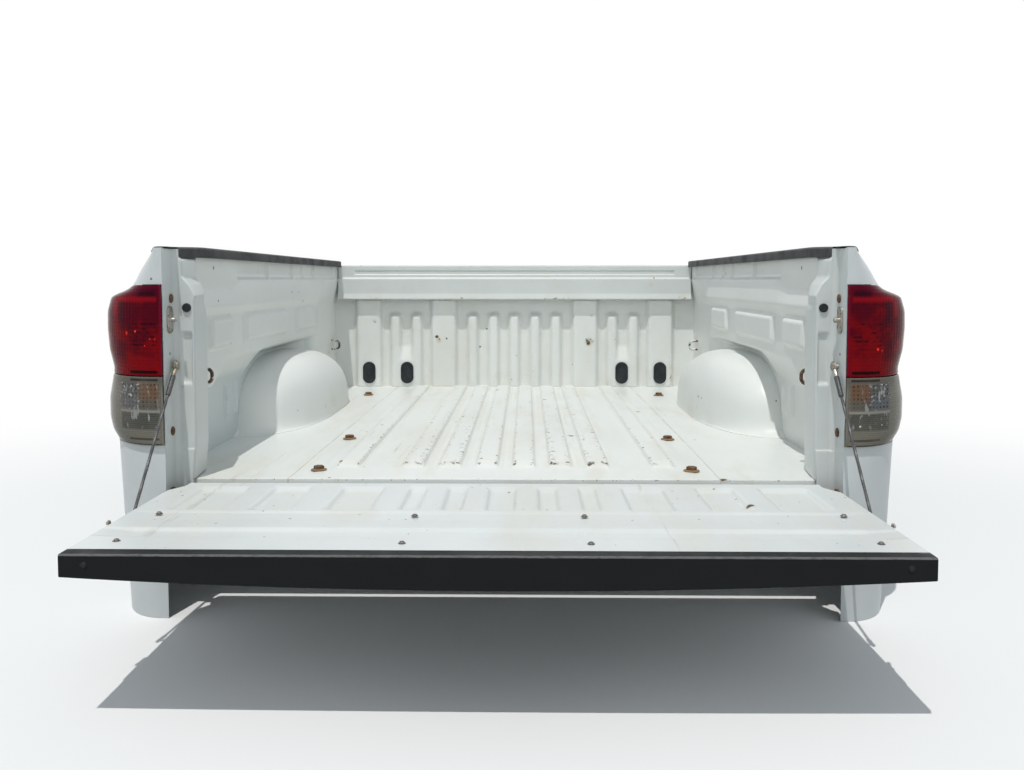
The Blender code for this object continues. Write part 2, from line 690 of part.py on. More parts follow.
def outer_sides(paint):
    """Outer skins from the rear face round the corner to the front, with hems, wheel arch and lamp opening."""
    corner = [math.pi / 2 * (1 - k / CORNER_STEPS) for k in range(CORNER_STEPS + 1)]
    corner_y = REAR_FACE_Y + CORNER_LENGTH
    arch = [WHEEL_Y - ARCH_HALF * math.cos(math.pi * k / ARCH_STEPS) for k in range(ARCH_STEPS + 1)]
    along = [SIDE_JOINTS_Y[0], *arch, SIDE_JOINTS_Y[1], SIDE_FRONT_Y]
    for side, sign in SIDES:
        grid = []
        columns = [("rear", OPENING_HALF)] + [("corner", t) for t in corner] + [("side", y) for y in along]
        for kind, value in columns:
            bottom = SKIRT_H
            if kind == "side" and abs(value - WHEEL_Y) < ARCH_HALF - MERGE:
                bottom += ARCH_RISE * math.sqrt(1 - ((value - WHEEL_Y) / ARCH_HALF) ** 2)
            points = []
            for h in skin_rows(bottom):
                if kind == "rear":
                    points.append((value, REAR_FACE_Y, h))
                elif kind == "corner":
                    points.append((CORNER_X + (side_x(h) - CORNER_X) * math.cos(value),
                                   corner_y - CORNER_LENGTH * math.sin(value), h))
                else:
                    wide = eased(value, corner_y, corner_y + SIDE_WIDENING_LENGTH, 0.0, SIDE_WIDENING)
                    points.append((side_x(h) + wide + arch_flare(value, h), value, h))
            inward = {"rear": (0.0, 1.0), "side": (-1.0, 0.0)}.get(kind)
            if inward is None:
                inward = (-math.cos(value), math.sin(value))
            x, y, h = points[-1]
            hem = (x + HEM * inward[0], y + HEM * inward[1], h)
            x, y, h = points[0]
            top = (min(x, OPENING_HALF + RAIL_FLANGE), max(y, REAR_FACE_Y + RAIL_FLANGE_BACK), h)
            grid.append([(sign * px, py, ph) for px, py, ph in [top, *points, hem]])
        lamp_rows = (4, 5, 6, 7)
        lamp_columns = range(CORNER_STEPS + 1)
        keep = [[not (i in lamp_columns and j in lamp_rows) for j in range(len(grid[0]) - 1)]
                for i in range(len(grid) - 1)]
        pressed(f"{side}_outer_side", grid, paint, keep=keep, flip=sign > 0)


def pillar_lip_x(h):
    """Inner edge of the pillar's rear flange, with its tooth and the pocket above."""
    return float(np.interp(h, (0.0, PILLAR_NOTCH_H, PILLAR_TOOTH_H[0], PILLAR_TOOTH_H[1], PILLAR_POCKET_H,
                               PILLAR_POCKET_H + PILLAR_POCKET_STEP),
                           (PILLAR_LIP_X, PILLAR_MID_X + PILLAR_NOTCH_IN, PILLAR_MID_X, PILLAR_TOOTH_X,
                            PILLAR_TOOTH_X + PILLAR_TOOTH_OUT, PILLAR_POCKET_X)))


def stud_profile(shoulder):
    """Shoulder stud for a cable's eye, from its foot to the head past the eye."""
    return ((0.0, 0.0), (STUD_RADIUS, 0.0), (STUD_RADIUS, shoulder), (STUD_HEAD_RADIUS, shoulder),
            (STUD_HEAD_RADIUS, shoulder + STUD_HEAD * 0.6), (STUD_HEAD_RADIUS * 0.7, shoulder + STUD_HEAD),
            (0.0, shoulder + STUD_HEAD))


def tailgate_pillars(paint):
    """Pillars at the rear opening: a cheek off the inner side, the rear flange with its slot, and the jamb.

    The stud that the check cable hangs on is welded into the jamb.
    """
    end_y = REAR_FACE_Y + SHEET + GAP
    seam_y = WALL_REAR_Y - GAP
    cheek_top = CAP_LIP_H - PILLAR_CHEEK_GAP
    section = wall_section(WALL_REAR_Y, 0.0)[:-1]
    wall_h = [h for h, x in section]
    wall_x = [x for h, x in section]
    own = (PILLAR_NOTCH_H, SLOT_H[0] - SLOT_RAMP, *SLOT_H, SLOT_H[1] + SLOT_RAMP, *PILLAR_TOOTH_H,
           PILLAR_POCKET_H, PILLAR_POCKET_H + PILLAR_POCKET_STEP, cheek_top)
    levels = [PILLAR_FOOT_H, GAP] + sorted({*own, *wall_h[1:]})
    for side, sign in SIDES:
        grid = []
        for h in levels:
            deep = SLOT_DEPTH if SLOT_H[0] <= h <= SLOT_H[1] else 0.0
            lip = pillar_lip_x(h)
            slot_in = max(SLOT_X[0], lip + SLOT_MARGIN)
            slot_out = max(SLOT_X[1], slot_in + SLOT_MARGIN)
            path = ((float(np.interp(h, wall_h, wall_x)), seam_y), (lip + PILLAR_CHEEK_OUT, PILLAR_DEPTH),
                    (lip, FOLD), (lip + PILLAR_LIP_TURN, FLANGE_Y), (slot_in - SLOT_WALL[0], FLANGE_Y),
                    (slot_in + SLOT_WALL[1], FLANGE_Y + deep), (slot_out, FLANGE_Y + deep),
                    (slot_out + SLOT_WALL[2], FLANGE_Y), (OPENING_HALF, FLANGE_Y), (OPENING_HALF, end_y))
            grid.append([(sign * x, y, h) for x, y in path])
        keep = [[j >= 3 or (i > 0 and levels[i] < cheek_top - MERGE) for j in range(len(grid[0]) - 1)]
                for i in range(len(levels) - 1)]
        pillar = pressed(f"{side}_tailgate_pillar", grid, paint, keep=keep, flip=sign > 0)
        foot = OPENING_HALF + SHEET / 2
        stud = turned("stud", stud_profile(foot - CABLE_X + EYE_THICK / 2 + GAP), paint,
                      (sign * foot, *CABLE_TOP), "-X" if sign > 0 else "X")
        joined(pillar, stud)


def rail_caps(plastic):
    """Moulded caps over the rails; the top runs on over the rear corner, the inner lip stops at the pillar."""
    top = RAIL_H + GAP + PLASTIC
    front = FLOOR_LENGTH - PAD_RISE - HEADER_OVERHANG + STEP_DEPTH - 2 * GAP
    section = ((CAP_INNER_X, CAP_LIP_H), (CAP_INNER_X, top - FOLD), (CAP_INNER_X + FOLD, top),
               (CAP_OUTER_X, top))
    for side, sign in SIDES:
        grid = [[(sign * x, y, h) for x, h in section] for y in (CAP_REAR_Y, 2 * GAP, front)]
        keep = [[i > 0 or j > 1 for j in range(len(section) - 1)] for i in range(2)]
        pressed(f"{side}_rail_cap", grid, plastic, gauge=PLASTIC, keep=keep, flip=sign > 0)


def tie_down_loops(steel):
    """Bent wire loops welded to the inner sides."""
    for side, sign in SIDES:
        for where, y, h in LOOP_PLACES:
            section = wall_section(y, 0.0)
            wall = float(np.interp(h, [p[0] for p in section], [p[1] for p in section])) - GAP
            half = LOOP_HEIGHT / 2
            bend = half * LOOP_BEND
            route = [(wall, -half)]
            for k in range(LOOP_STEPS + 1):
                t = math.pi / 2 * k / LOOP_STEPS
                route.append((wall - LOOP_REACH + bend * (1 - math.sin(t)), -half + bend * (1 - math.cos(t))))
            route += [(x, -v) for x, v in reversed(route)]
            curve = bpy.data.curves.new(f"{side}_{where}_tie_down", "CURVE")
            curve.dimensions = "3D"
            curve.bevel_depth = LOOP_WIRE
            curve.bevel_resolution = 2
            curve.use_fill_caps = True
            spline = curve.splines.new("POLY")
            spline.points.add(len(route) - 1)
            for point, (x, v) in zip(spline.points, route):
                point.co = (*bed(sign * x, y, h + v), 1.0)
            curve.materials.append(steel)
            obj = bpy.data.objects.new(f"{side}_{where}_tie_down", curve)
            bpy.context.scene.collection.objects.link(obj)


def strikers(steel):
    """Latch strikers: a plate on the jamb with a pin that points into the opening."""
    y = HINGE_Y + STRIKER_A
    face = OPENING_HALF - GAP
    reach = OPENING_HALF - GAP - (GATE_HALF + GAP + LATCH_PLATE_THICK + RUNNING_GAP)
    for side, sign in SIDES:
        outline = rounded(*STRIKER_PLATE, STRIKER_PLATE_RADIUS)
        base = plate(f"{side}_striker", outline, STRIKER_PLATE_THICK, steel,
                     lambda u, v, w, s=sign: (s * (face - w), y + u, STRIKER_H + v))
        radius = STRIKER_PIN_RADIUS
        pin = turned("pin", ((0.0, CHAMFER), (radius, CHAMFER), (radius, reach - CHAMFER), (radius - CHAMFER, reach),
                     (0.0, reach)), steel, (sign * face, y, STRIKER_H), "-X" if sign > 0 else "X")
        joined(base, pin)


def bump_stops(rubber):
    """Rubber buttons on the pillars that the shut tailgate leans on."""
    for side, sign in SIDES:
        turned(f"{side}_bump_stop", ((0.0, 0.0), (BUMP_RADIUS, 0.0), (BUMP_RADIUS, BUMP_THICK * 0.6),
               (BUMP_RADIUS * 0.75, BUMP_THICK), (0.0, BUMP_THICK)), rubber,
               (sign * BUMP_X, FLANGE_Y - GAP, BUMP_H), "-Y")


def lamp_point(column, h, inset=0.0):
    """A point of the lamp's face: column 0 is its inner edge, then the corner runs round to the side."""
    reach = float(np.interp(h, LAMP_PROFILE_H, LAMP_PROFILE_X)) - CORNER_X - inset
    depth = CORNER_LENGTH + LAMP_PROUD - inset
    corner_y = REAR_FACE_Y + CORNER_LENGTH
    if column == 0:
        return LAMP_INNER_X, corner_y - depth, h
    t = math.pi / 2 - (math.pi / 2 - LAMP_EDGE_GAP / depth) * (column - 1) / (2 * CORNER_STEPS)
    return CORNER_X + reach * math.cos(t), corner_y - depth * math.sin(t), h


def tail_lamps(red, clear, plastic):
    """Tail lamps in the rear corners: a deep housing behind a red upper and a clear lower lens."""
    columns = range(2 * CORNER_STEPS + 2)
    low, high = LAMP_H[0] + LAMP_FOOT_GAP, LAMP_H[1] - LAMP_EDGE_GAP
    levels = [h for h in LAMP_PROFILE_H if low < h < high]
    red_rows = [LAMP_SEAM_H + LAMP_SEAM] + [h for h in levels if h > LAMP_SEAM_H] + [high]
    clear_rows = [low] + [h for h in levels if h < LAMP_SEAM_H] + [LAMP_SEAM_H - LAMP_SEAM]
    back = LENS + LAMP_SEAT
    rims = (low + LAMP_RIM, high - LAMP_RIM)
    behind = [rims[0], *[h for h in levels if rims[0] < h < rims[1]], rims[1]]
    for side, sign in SIDES:
        for name, heights, glass in (("red_lens", red_rows, red), ("clear_lens", clear_rows, clear)):
            grid = [[(sign * x, y, z) for x, y, z in (lamp_point(c, h) for h in heights)] for c in columns]
            pressed(f"{side}_{name}", grid, glass, gauge=LENS, flip=sign < 0)
        grid = []
        for c in columns[1:-1]:
            edge = c in (1, columns[-2])
            deep = [lamp_point(c, h, LAMP_DEPTH) for h in behind]
            rim = [lamp_point(c, h, back) for h in behind]
            line = [rim[0], *deep, rim[-1]]
            grid.append([(sign * x, y, z) for x, y, z in line])
            if edge:
                lip = [(sign * x, y, z) for x, y, z in [rim[0], *rim, rim[-1]]]
                grid.insert(len(grid) - 1 if c == 1 else len(grid), lip)
        keep = [[not (i in (0, len(grid) - 2) and j in (0, len(grid[0]) - 2)) for j in range(len(grid[0]) - 1)]
                for i in range(len(grid) - 1)]
        pressed(f"{side}_lamp_housing", grid, plastic, gauge=PLASTIC, keep=keep, flip=sign < 0)


def gate_half(s):
    return eased(s, *GATE_NARROW, GATE_HINGE_HALF, GATE_HALF)


def gate_skin(x, s):
    """Depth of the tailgate's outer skin below the hinge axis: a slight taper and a crown across it."""
    taper = eased(s, 0.0, GATE_LENGTH, GATE_SKIN_ROOT, GATE_SKIN_TIP)
    return -(taper + GATE_CROWN * (1 - (x / GATE_HALF) ** 2) * eased(s, 0.0, GATE_CROWN_START, 0.0, 1.0))


def tailgate_inner_panel(paint, pivot):
    """Inner panel of the tailgate: a sunk field with short ribs by the hinge, and a long channel."""
    top = HINGE_DROP
    margin = GATE_MARGIN_X
    stations = {GATE_HALF: None, margin: 0.0, margin - GATE_RIB_SLOPE: 1.0}
    for centre, width in GATE_RIBS:
        for edge in (-1, 1):
            stations[centre + edge * width / 2] = 0.0
            stations[centre + edge * (width / 2 + GATE_RIB_SLOPE)] = 1.0
    right = sorted(stations.items())
    across = [(-x, deep) for x, deep in reversed(right)] + right
    runs = [(0.0, 0), *((s, 1 if 0 < k < 3 else 0) for k, s in enumerate(GATE_RIB_S)),
            *((s, 2 if 0 < k < 3 else 0) for k, s in enumerate(GATE_CHANNEL_S)),
            (GATE_LENGTH - GATE_CAP - GAP, 0)]
    runs = sorted(runs + [(s, 0) for s in (GATE_NARROW[1],) if s not in dict(runs)])
    grid = []
    for x, deep in across:
        line = []
        for s, field in runs:
            in_field = GATE_RIB_S[0] < s < GATE_RIB_S[3]
            sunk = 0.0
            if deep is not None:
                sunk = GATE_FIELD_DEPTH * deep if in_field else 0.0
                sunk = GATE_CHANNEL_DEPTH * (abs(x) < margin) if field == 2 else sunk
            reach = gate_half(s) if deep is None else abs(x)
            line.append(gate(math.copysign(reach, x), s, top - sunk))
        grid.append(line)
    hang(pressed("tailgate_inner_panel", grid, paint, flip=True), pivot)


def tailgate_outer_panel(paint, pivot):
    """Outer panel of the tailgate: crowned skin, rounded hinge end and side walls up to the inner panel.

    A notch in its free edge takes the handle's garnish.
    """
    top = HINGE_DROP - SHEET - GAP
    end = GATE_LENGTH - GATE_CAP - GAP
    arc = [math.radians(t) for t in GATE_ARC_DEG]
    path = [(GATE_END_RADIUS * math.cos(t), GATE_END_RADIUS * math.sin(t), True) for t in arc]
    path += [(s, None, False) for s in sorted((GATE_NARROW[1], *GATE_STATIONS, GARNISH_S, HANDLE_S[1], end))]
    notch = GARNISH_HALF / GATE_HALF
    right = (BEZEL_HALF / GATE_HALF, notch, *GATE_SHARES, 1.0)
    across = (*(-share for share in reversed(right)), *right)
    grid = []
    for share in across:
        line = []
        for s, a, bend in path:
            x = share * (GATE_HALF if abs(share) <= notch else gate_half(s))
            line.append(gate(x, s, a if bend else gate_skin(x, s)))
        if abs(share) == 1.0:
            wall = [gate(share * gate_half(s), max(s, GATE_WALL_START), top) for s, a, bend in path]
            wall[0] = line[0]
            grid += [wall, line] if share < 0 else [line, wall]
        else:
            grid.append(line)
    keep = [[abs(grid[i][j][0] + grid[i + 1][j][0]) > 2 * GARNISH_HALF or path[j][0] < GARNISH_S
             for j in range(len(path) - 1)] for i in range(len(grid) - 1)]
    hang(pressed("tailgate_outer_panel", grid, paint, keep=keep), pivot)


def tailgate_top_cap(plastic, pivot):
    """Moulded cap over the free edge of the tailgate, deeper in the middle where the skin is crowned."""
    rim = GATE_LENGTH - GATE_CAP
    across = np.linspace(-GATE_HALF, GATE_HALF, CAP_STATIONS)
    face = []
    for x in across:
        low = gate_skin(x, GATE_LENGTH)
        face.append([gate(x, rim, HINGE_DROP), gate(x, GATE_LENGTH - CAP_ROUND, HINGE_DROP),
                     gate(x, GATE_LENGTH, HINGE_DROP - CAP_ROUND), gate(x, GATE_LENGTH, low + CAP_ROUND),
                     gate(x, GATE_LENGTH - CAP_ROUND, low), gate(x, rim, low)])
    ends = [[(x, HINGE_Y - rim, h) for x, y, h in line] for line in (face[0], face[-1])]
    grid = [ends[0], *face, ends[1]]
    keep = [[not (i in (0, len(grid) - 2) and j in (0, 4)) for j in range(5)] for i in range(len(grid) - 1)]
    hang(pressed("tailgate_top_cap", grid, plastic, gauge=PLASTIC, keep=keep, flip=True), pivot)


def hinges(steel, pivot):
    """Trunnions bolted to the jambs, and the cups on the tailgate that turn on them."""
    face = OPENING_HALF - GAP
    reach = face - GATE_HINGE_HALF - TRUNNION_END_GAP
    bore = TRUNNION_RADIUS + RUNNING_GAP
    for side, sign in SIDES:
        turned(f"{side}_hinge_trunnion", ((0.0, 0.0), (TRUNNION_FLANGE[0], 0.0), TRUNNION_FLANGE,
               (TRUNNION_RADIUS, TRUNNION_FLANGE[1]), (TRUNNION_RADIUS, reach - TRUNNION_CHAMFER),
               (TRUNNION_RADIUS - TRUNNION_CHAMFER, reach), (0.0, reach)), steel,
               (sign * face, HINGE_Y, HINGE_H), "-X" if sign > 0 else "X")
        cup = turned(f"{side}_hinge_cup", ((CUP_FLANGE[0], 0.0), CUP_FLANGE, (CUP_RADIUS, CUP_FLANGE[1]),
                     (CUP_RADIUS, CUP_LENGTH), (bore, CUP_LENGTH), (bore, 0.0)), steel,
                     (sign * (GATE_HINGE_HALF + GAP), HINGE_Y, HINGE_H), "X" if sign > 0 else "-X", closed=True)
        hang(cup, pivot)


def check_cables(cable, steel, pivot):
    """Check cables between a stud on each jamb and a stud on the tailgate, with a sleeve near the top."""
    bottom = gate(CABLE_X, CABLE_BOTTOM_S, CABLE_BOTTOM_A)
    start = Vector((CABLE_X, *CABLE_TOP))
    end = Vector(bottom)
    line = (end - start).normalized()
    for side, sign in SIDES:
        foot = GATE_HALF + GAP
        lower = turned(f"{side}_cable_stud", stud_profile(CABLE_X + EYE_THICK / 2 + GAP - foot), steel,
                       (sign * foot, *bottom[1:]), "X" if sign > 0 else "-X")
        hang(lower, pivot)
        bore = STUD_RADIUS + RUNNING_GAP
        ring = ((EYE_RADIUS, -EYE_THICK / 2), (EYE_RADIUS, EYE_THICK / 2), (bore, EYE_THICK / 2),
                (bore, -EYE_THICK / 2))
        parts = []
        for name, centre in ((f"{side}_check_cable", start), ("lower_eye", end)):
            parts.append(turned(name, ring, cable, (sign * centre.x, centre.y, centre.z), "X", closed=True))
        length = (end - start).length
        neck = STUD_HEAD_RADIUS + RUNNING_GAP
        for name, radius, span in (("wire", CABLE_RADIUS, (neck, length - neck)),
                                   ("sleeve", CABLE_SLEEVE_RADIUS, CABLE_SLEEVE)):
            rod = turned(name, ((0.0, span[0]), (radius, span[0]), (radius, span[1]), (0.0, span[1])), cable,
                         (0.0, 0.0, 0.0), "Z", sides=10)
            mirrored = Vector((sign * start.x, start.y, start.z))
            rod.rotation_euler = Vector((0.0, line.y, line.z)).to_track_quat("Z", "X").to_euler()
            rod.location = bed(*mirrored)
            parts.append(rod)
        joined(*parts)


def handle_profile():
    """Where the handle sits: the skin's depth at its middle and the barrel's axis."""
    skin = gate_skin(0.0, sum(HANDLE_S) / 2)
    return HANDLE_S[1] - BEZEL_WALL - HANDLE_BARREL - HANDLE_BACK_GAP, skin + HANDLE_BARREL + HANDLE_FACE_IN


def handle_bezel(plastic, pivot):
    """Moulded garnish let into the outer skin up to the cap; a dish in it leaves finger room at the handle."""
    inset = BEZEL_WALL + GAP
    half = BEZEL_HALF - inset
    ends = (HANDLE_S[0] + inset, HANDLE_S[1] - inset)
    level = max(gate_skin(BEZEL_HALF, s) for s in ends) + BEZEL_DEPTH
    right = ((half - BEZEL_DRAFT, True), (half, False), (GARNISH_HALF - GAP, False))
    across = [(-x, deep) for x, deep in reversed(right)] + list(right)
    rows = ((GARNISH_S + GAP, False), (ends[0], False), (ends[0] + BEZEL_DRAFT, True),
            (ends[1] - BEZEL_DRAFT, True), (ends[1], False), (GATE_LENGTH - GATE_CAP - GAP, False))
    grid = [[gate(x, s, level if deep and inner else gate_skin(x, s)) for s, inner in rows] for x, deep in across]
    hang(pressed("handle_bezel", grid, plastic, gauge=BEZEL_WALL), pivot)


def tailgate_handle(plastic, pivot):
    """Lift handle: a curved paddle on a barrel that turns in the bezel's ends."""
    axis_s, axis_a = handle_profile()
    skin = gate_skin(0.0, HANDLE_GRIP_S)
    neck = HANDLE_BARREL * HANDLE_NECK
    grip = HANDLE_GRIP_S
    outline = ((grip, skin + HANDLE_FACE_IN), (grip + HANDLE_GRIP, skin), (axis_s, axis_a - neck),
               (axis_s, axis_a + neck), (grip + HANDLE_GRIP, skin + HANDLE_THICK),
               (grip, skin + HANDLE_THICK + HANDLE_GRIP_HOOK))
    paddle = plate("tailgate_handle", outline, 2 * HANDLE_HALF, plastic,
                   lambda s, a, w: gate(w - HANDLE_HALF, s, a))
    reach = BEZEL_HALF - 2 * GAP - BEZEL_WALL - BEZEL_DRAFT
    barrel = turned("barrel", ((0.0, -reach), (HANDLE_BARREL, -reach), (HANDLE_BARREL, reach), (0.0, reach)),
                    plastic, gate(0.0, axis_s, axis_a), "X")
    hinge = pivot_at("handle_axis", *gate(0.0, axis_s, axis_a))
    hang(hinge, pivot)
    hang(joined(paddle, barrel), hinge)


def latch_rods(steel, pivot):
    """Rods inside the tailgate from the handle out to the latches; lifting the handle draws them inwards."""
    outer = GATE_HALF - SHEET - GAP
    inner = BEZEL_HALF + BEZEL_WALL + ROD_TRAVEL + ROD_END_GAP
    for side, sign in SIDES:
        rod = turned(f"{side}_latch_rod", ((0.0, 0.0), (ROD_RADIUS, 0.0), (ROD_RADIUS, outer - inner),
                     (0.0, outer - inner)), steel, gate(sign * inner, ROD_S, ROD_A),
                     "X" if sign > 0 else "-X", sides=8)
        hang(rod, pivot)


def claw_outline():
    """Latch claw as locked, about the striker pin: an arm up from its pivot and a hook over the pin."""
    room = STRIKER_PIN_RADIUS + CLAW_CLEARANCE
    px, pa = CLAW_PIVOT
    web = CLAW_WEB
    eye = [(px + web * math.cos(t), pa + web * math.sin(t))
           for t in np.radians(np.linspace(150.0, 330.0, 7))]
    tip = room + CLAW_HOOK
    return eye + [(-room - CLAW_ARM_STEP, -CLAW_ARM_STEP), (-room, room), (room, room), (room, CLAW_HOOK_END),
                  (tip, CLAW_HOOK_END), (tip, room + web / 2), (tip - web / 2, room + web),
                  (-room - CLAW_ARM_STEP, room + web)]


def latches(steel, pivot):
    """Latch plates on the tailgate's side walls, each with a pivot pin, and the claws that turn on them."""
    pin_s = STRIKER_H - HINGE_H
    pin_a = STRIKER_A
    centre_s, centre_a = pin_s + CLAW_PIVOT[0], pin_a + CLAW_PIVOT[1]
    plate_a = 0.5 * (HINGE_DROP - SHEET - GAP + gate_skin(GATE_HALF, pin_s)) - LATCH_PLATE_DROP
    face = GATE_HALF + GAP
    claw_face = face + LATCH_PLATE_THICK + GAP
    turn = math.radians(CLAW_OPEN_DEG)
    for side, sign in SIDES:
        outline = rounded(*LATCH_PLATE, LATCH_PLATE_RADIUS, 3)
        base = plate(f"{side}_latch_plate", outline, LATCH_PLATE_THICK, steel,
                     lambda u, v, w, k=sign: gate(k * (face + w), pin_s + u, plate_a + v))
        reach = LATCH_PLATE_THICK + CLAW_THICK + 2 * GAP
        head = CLAW_PIN_RADIUS + CLAW_PIN_HEAD[0]
        top = reach + CLAW_PIN_HEAD[1]
        pin = turned("pivot_pin", ((0.0, CHAMFER), (CLAW_PIN_RADIUS, CHAMFER), (CLAW_PIN_RADIUS, reach),
                     (head, reach), (head, top), (0.0, top)), steel, gate(sign * face, centre_s, centre_a),
                     "X" if sign > 0 else "-X")
        hang(joined(base, pin), pivot)
        outline = []
        for u, v in claw_outline():
            ds, da = u - CLAW_PIVOT[0], v - CLAW_PIVOT[1]
            outline.append((centre_s + ds * math.cos(turn) - da * math.sin(turn),
                            centre_a + ds * math.sin(turn) + da * math.cos(turn)))
        claw = plate(f"{side}_latch_claw", outline, CLAW_THICK, steel,
                     lambda s, a, w, k=sign: gate(k * (claw_face + w), s, a))
        bore = CLAW_PIN_RADIUS + RUNNING_GAP
        drill = turned("drill", ((0.0, -CLAW_THICK), (bore, -CLAW_THICK), (bore, 2 * CLAW_THICK),
                       (0.0, 2 * CLAW_THICK)), steel,
                       gate(sign * claw_face, centre_s, centre_a), "X" if sign > 0 else "-X")
        hinge = pivot_at(f"{side}_claw_axis", *gate(sign * claw_face, centre_s, centre_a))
        hang(hinge, pivot)
        hang(bored(claw, drill), hinge)


def build():
    clear_scene()
    paint = finish("white_paint", (0.80, 0.80, 0.77), 0.40)
    under = finish("underbody_paint", (0.45, 0.45, 0.43), 0.60)
    plastic = finish("black_plastic", (0.030, 0.031, 0.033), 0.55)
    rubber = finish("black_rubber", (0.020, 0.020, 0.020), 0.70)
    rust = finish("rusty_steel", (0.200, 0.110, 0.060), 0.80, 0.3)
    steel = finish("plated_steel", (0.480, 0.450, 0.380), 0.45, 0.9)
    cable = finish("cable_cover", (0.060, 0.060, 0.065), 0.50)
    red = finish("red_lens", (0.450, 0.010, 0.020), 0.12)
    clear = finish("clear_lens", (0.620, 0.590, 0.520), 0.12)
    bed_floor(paint)
    cross_sills(under)
    floor_bolts(rust)
    front_bulkhead(paint)
    bulkhead_header(paint)
    bulkhead_plugs(rubber)
    inner_sides(paint)
    wheel_housings(paint)
    outer_sides(paint)
    tailgate_pillars(paint)
    rail_caps(plastic)
    tie_down_loops(steel)
    strikers(steel)
    bump_stops(rubber)
    tail_lamps(red, clear, plastic)
    pivot = pivot_at("tailgate_axis", 0.0, HINGE_Y, HINGE_H)
    tailgate_inner_panel(paint, pivot)
    tailgate_outer_panel(paint, pivot)
    tailgate_top_cap(plastic, pivot)
    hinges(steel, pivot)
    check_cables(cable, steel, pivot)
    handle_bezel(plastic, pivot)
    tailgate_handle(plastic, pivot)
    latch_rods(steel, pivot)
    latches(steel, pivot)


build()
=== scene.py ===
"""Dresses the pickup cargo bed: worn white sheet metal, black mouldings, tail lamps and rusty hardware.

Places are in bed coordinates, in metres: x across from the middle, y forward from the floor's rear edge and
h up from the floor's flats. BED is where their origin lies in the frame.
"""

import math

import bpy
import numpy as np
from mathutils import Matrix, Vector


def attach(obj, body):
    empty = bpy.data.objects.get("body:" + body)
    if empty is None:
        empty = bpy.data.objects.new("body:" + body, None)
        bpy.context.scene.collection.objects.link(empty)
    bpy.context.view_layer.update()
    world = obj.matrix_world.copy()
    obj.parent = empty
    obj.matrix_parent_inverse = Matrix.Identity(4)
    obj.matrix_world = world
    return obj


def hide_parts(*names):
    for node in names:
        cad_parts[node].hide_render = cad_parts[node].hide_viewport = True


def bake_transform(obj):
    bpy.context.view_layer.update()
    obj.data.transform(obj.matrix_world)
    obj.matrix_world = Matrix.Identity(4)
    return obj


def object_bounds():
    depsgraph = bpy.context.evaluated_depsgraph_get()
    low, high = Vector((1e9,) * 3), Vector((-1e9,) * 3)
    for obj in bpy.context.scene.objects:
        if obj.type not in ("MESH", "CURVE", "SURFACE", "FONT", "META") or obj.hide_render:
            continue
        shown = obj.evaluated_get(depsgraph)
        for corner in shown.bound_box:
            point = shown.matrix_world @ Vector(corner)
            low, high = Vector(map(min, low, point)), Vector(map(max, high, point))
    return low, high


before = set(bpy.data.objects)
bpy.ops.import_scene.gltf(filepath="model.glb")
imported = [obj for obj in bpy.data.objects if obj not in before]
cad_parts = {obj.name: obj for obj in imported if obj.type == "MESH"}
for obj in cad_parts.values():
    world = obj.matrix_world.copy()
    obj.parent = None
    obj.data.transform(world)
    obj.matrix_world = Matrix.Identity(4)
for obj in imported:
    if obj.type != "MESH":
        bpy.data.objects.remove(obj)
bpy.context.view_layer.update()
SIDES = (("left", -1.0), ("right", 1.0))

# Camera
# It stands behind the open tailgate at chest height, a little right of the middle, and looks along the bed.
# Its lens and its small shift put the bed where the photograph has it.
SENSOR_MM, FOCAL_MM = 36.0, 33.38
LENS_SHIFT = -0.0488
EYE = (0.0532, -2.3355, 0.5298)
DOWN_DEGREES, LEFT_DEGREES = 3.318, 0.86
lens = bpy.data.cameras.new("camera")
lens.sensor_width = SENSOR_MM
lens.lens = FOCAL_MM
lens.shift_y = LENS_SHIFT
camera = bpy.data.objects.new("camera", lens)
camera.location = EYE
camera.rotation_euler = (math.radians(90.0 - DOWN_DEGREES), 0.0, math.radians(LEFT_DEGREES))
bpy.context.scene.collection.objects.link(camera)
bpy.context.scene.camera = camera

# Check cables
# Wire rope in a dark jacket, pressed into a plated eye at each end. The upper eye hangs on a stud in the jamb
# and the lower one on a stud in the tailgate's side; a black sleeve covers the upper crimp.
BED = np.array([0.0, -0.112, 0.0569])
CABLE_TOP = np.array([0.7655, -0.022, 0.273])
CABLE_BOTTOM = np.array([0.7655, -0.298, -0.035])
CABLE_NECK = 0.011
CABLE_RADIUS = 0.0035
CABLE_RINGS, CABLE_SIDES = 200, 24
STRANDS, STRAND_LAY, STRAND_DEPTH = 6, 0.060, 0.06
SLEEVE_START = 0.030
SLEEVE_SPOTS = np.array([0.0, 0.0, 0.003, 0.052, 0.055, 0.055])
SLEEVE_RADII = np.array([0.0037, 0.0055, 0.0062, 0.0058, 0.0050, 0.0037])
CRIMP_START = 0.0115
CRIMP_SPOTS = np.array([0.0, 0.0, 0.002, 0.016, 0.019, 0.019])
CRIMP_RADII = np.array([0.0037, 0.0050, 0.0053, 0.0053, 0.0046, 0.0037])
EYE_RIM, EYE_BORE, EYE_THICK, EYE_ROUND = 0.0135, 0.006, 0.004, 0.0008
FULL_BEND = 60.0


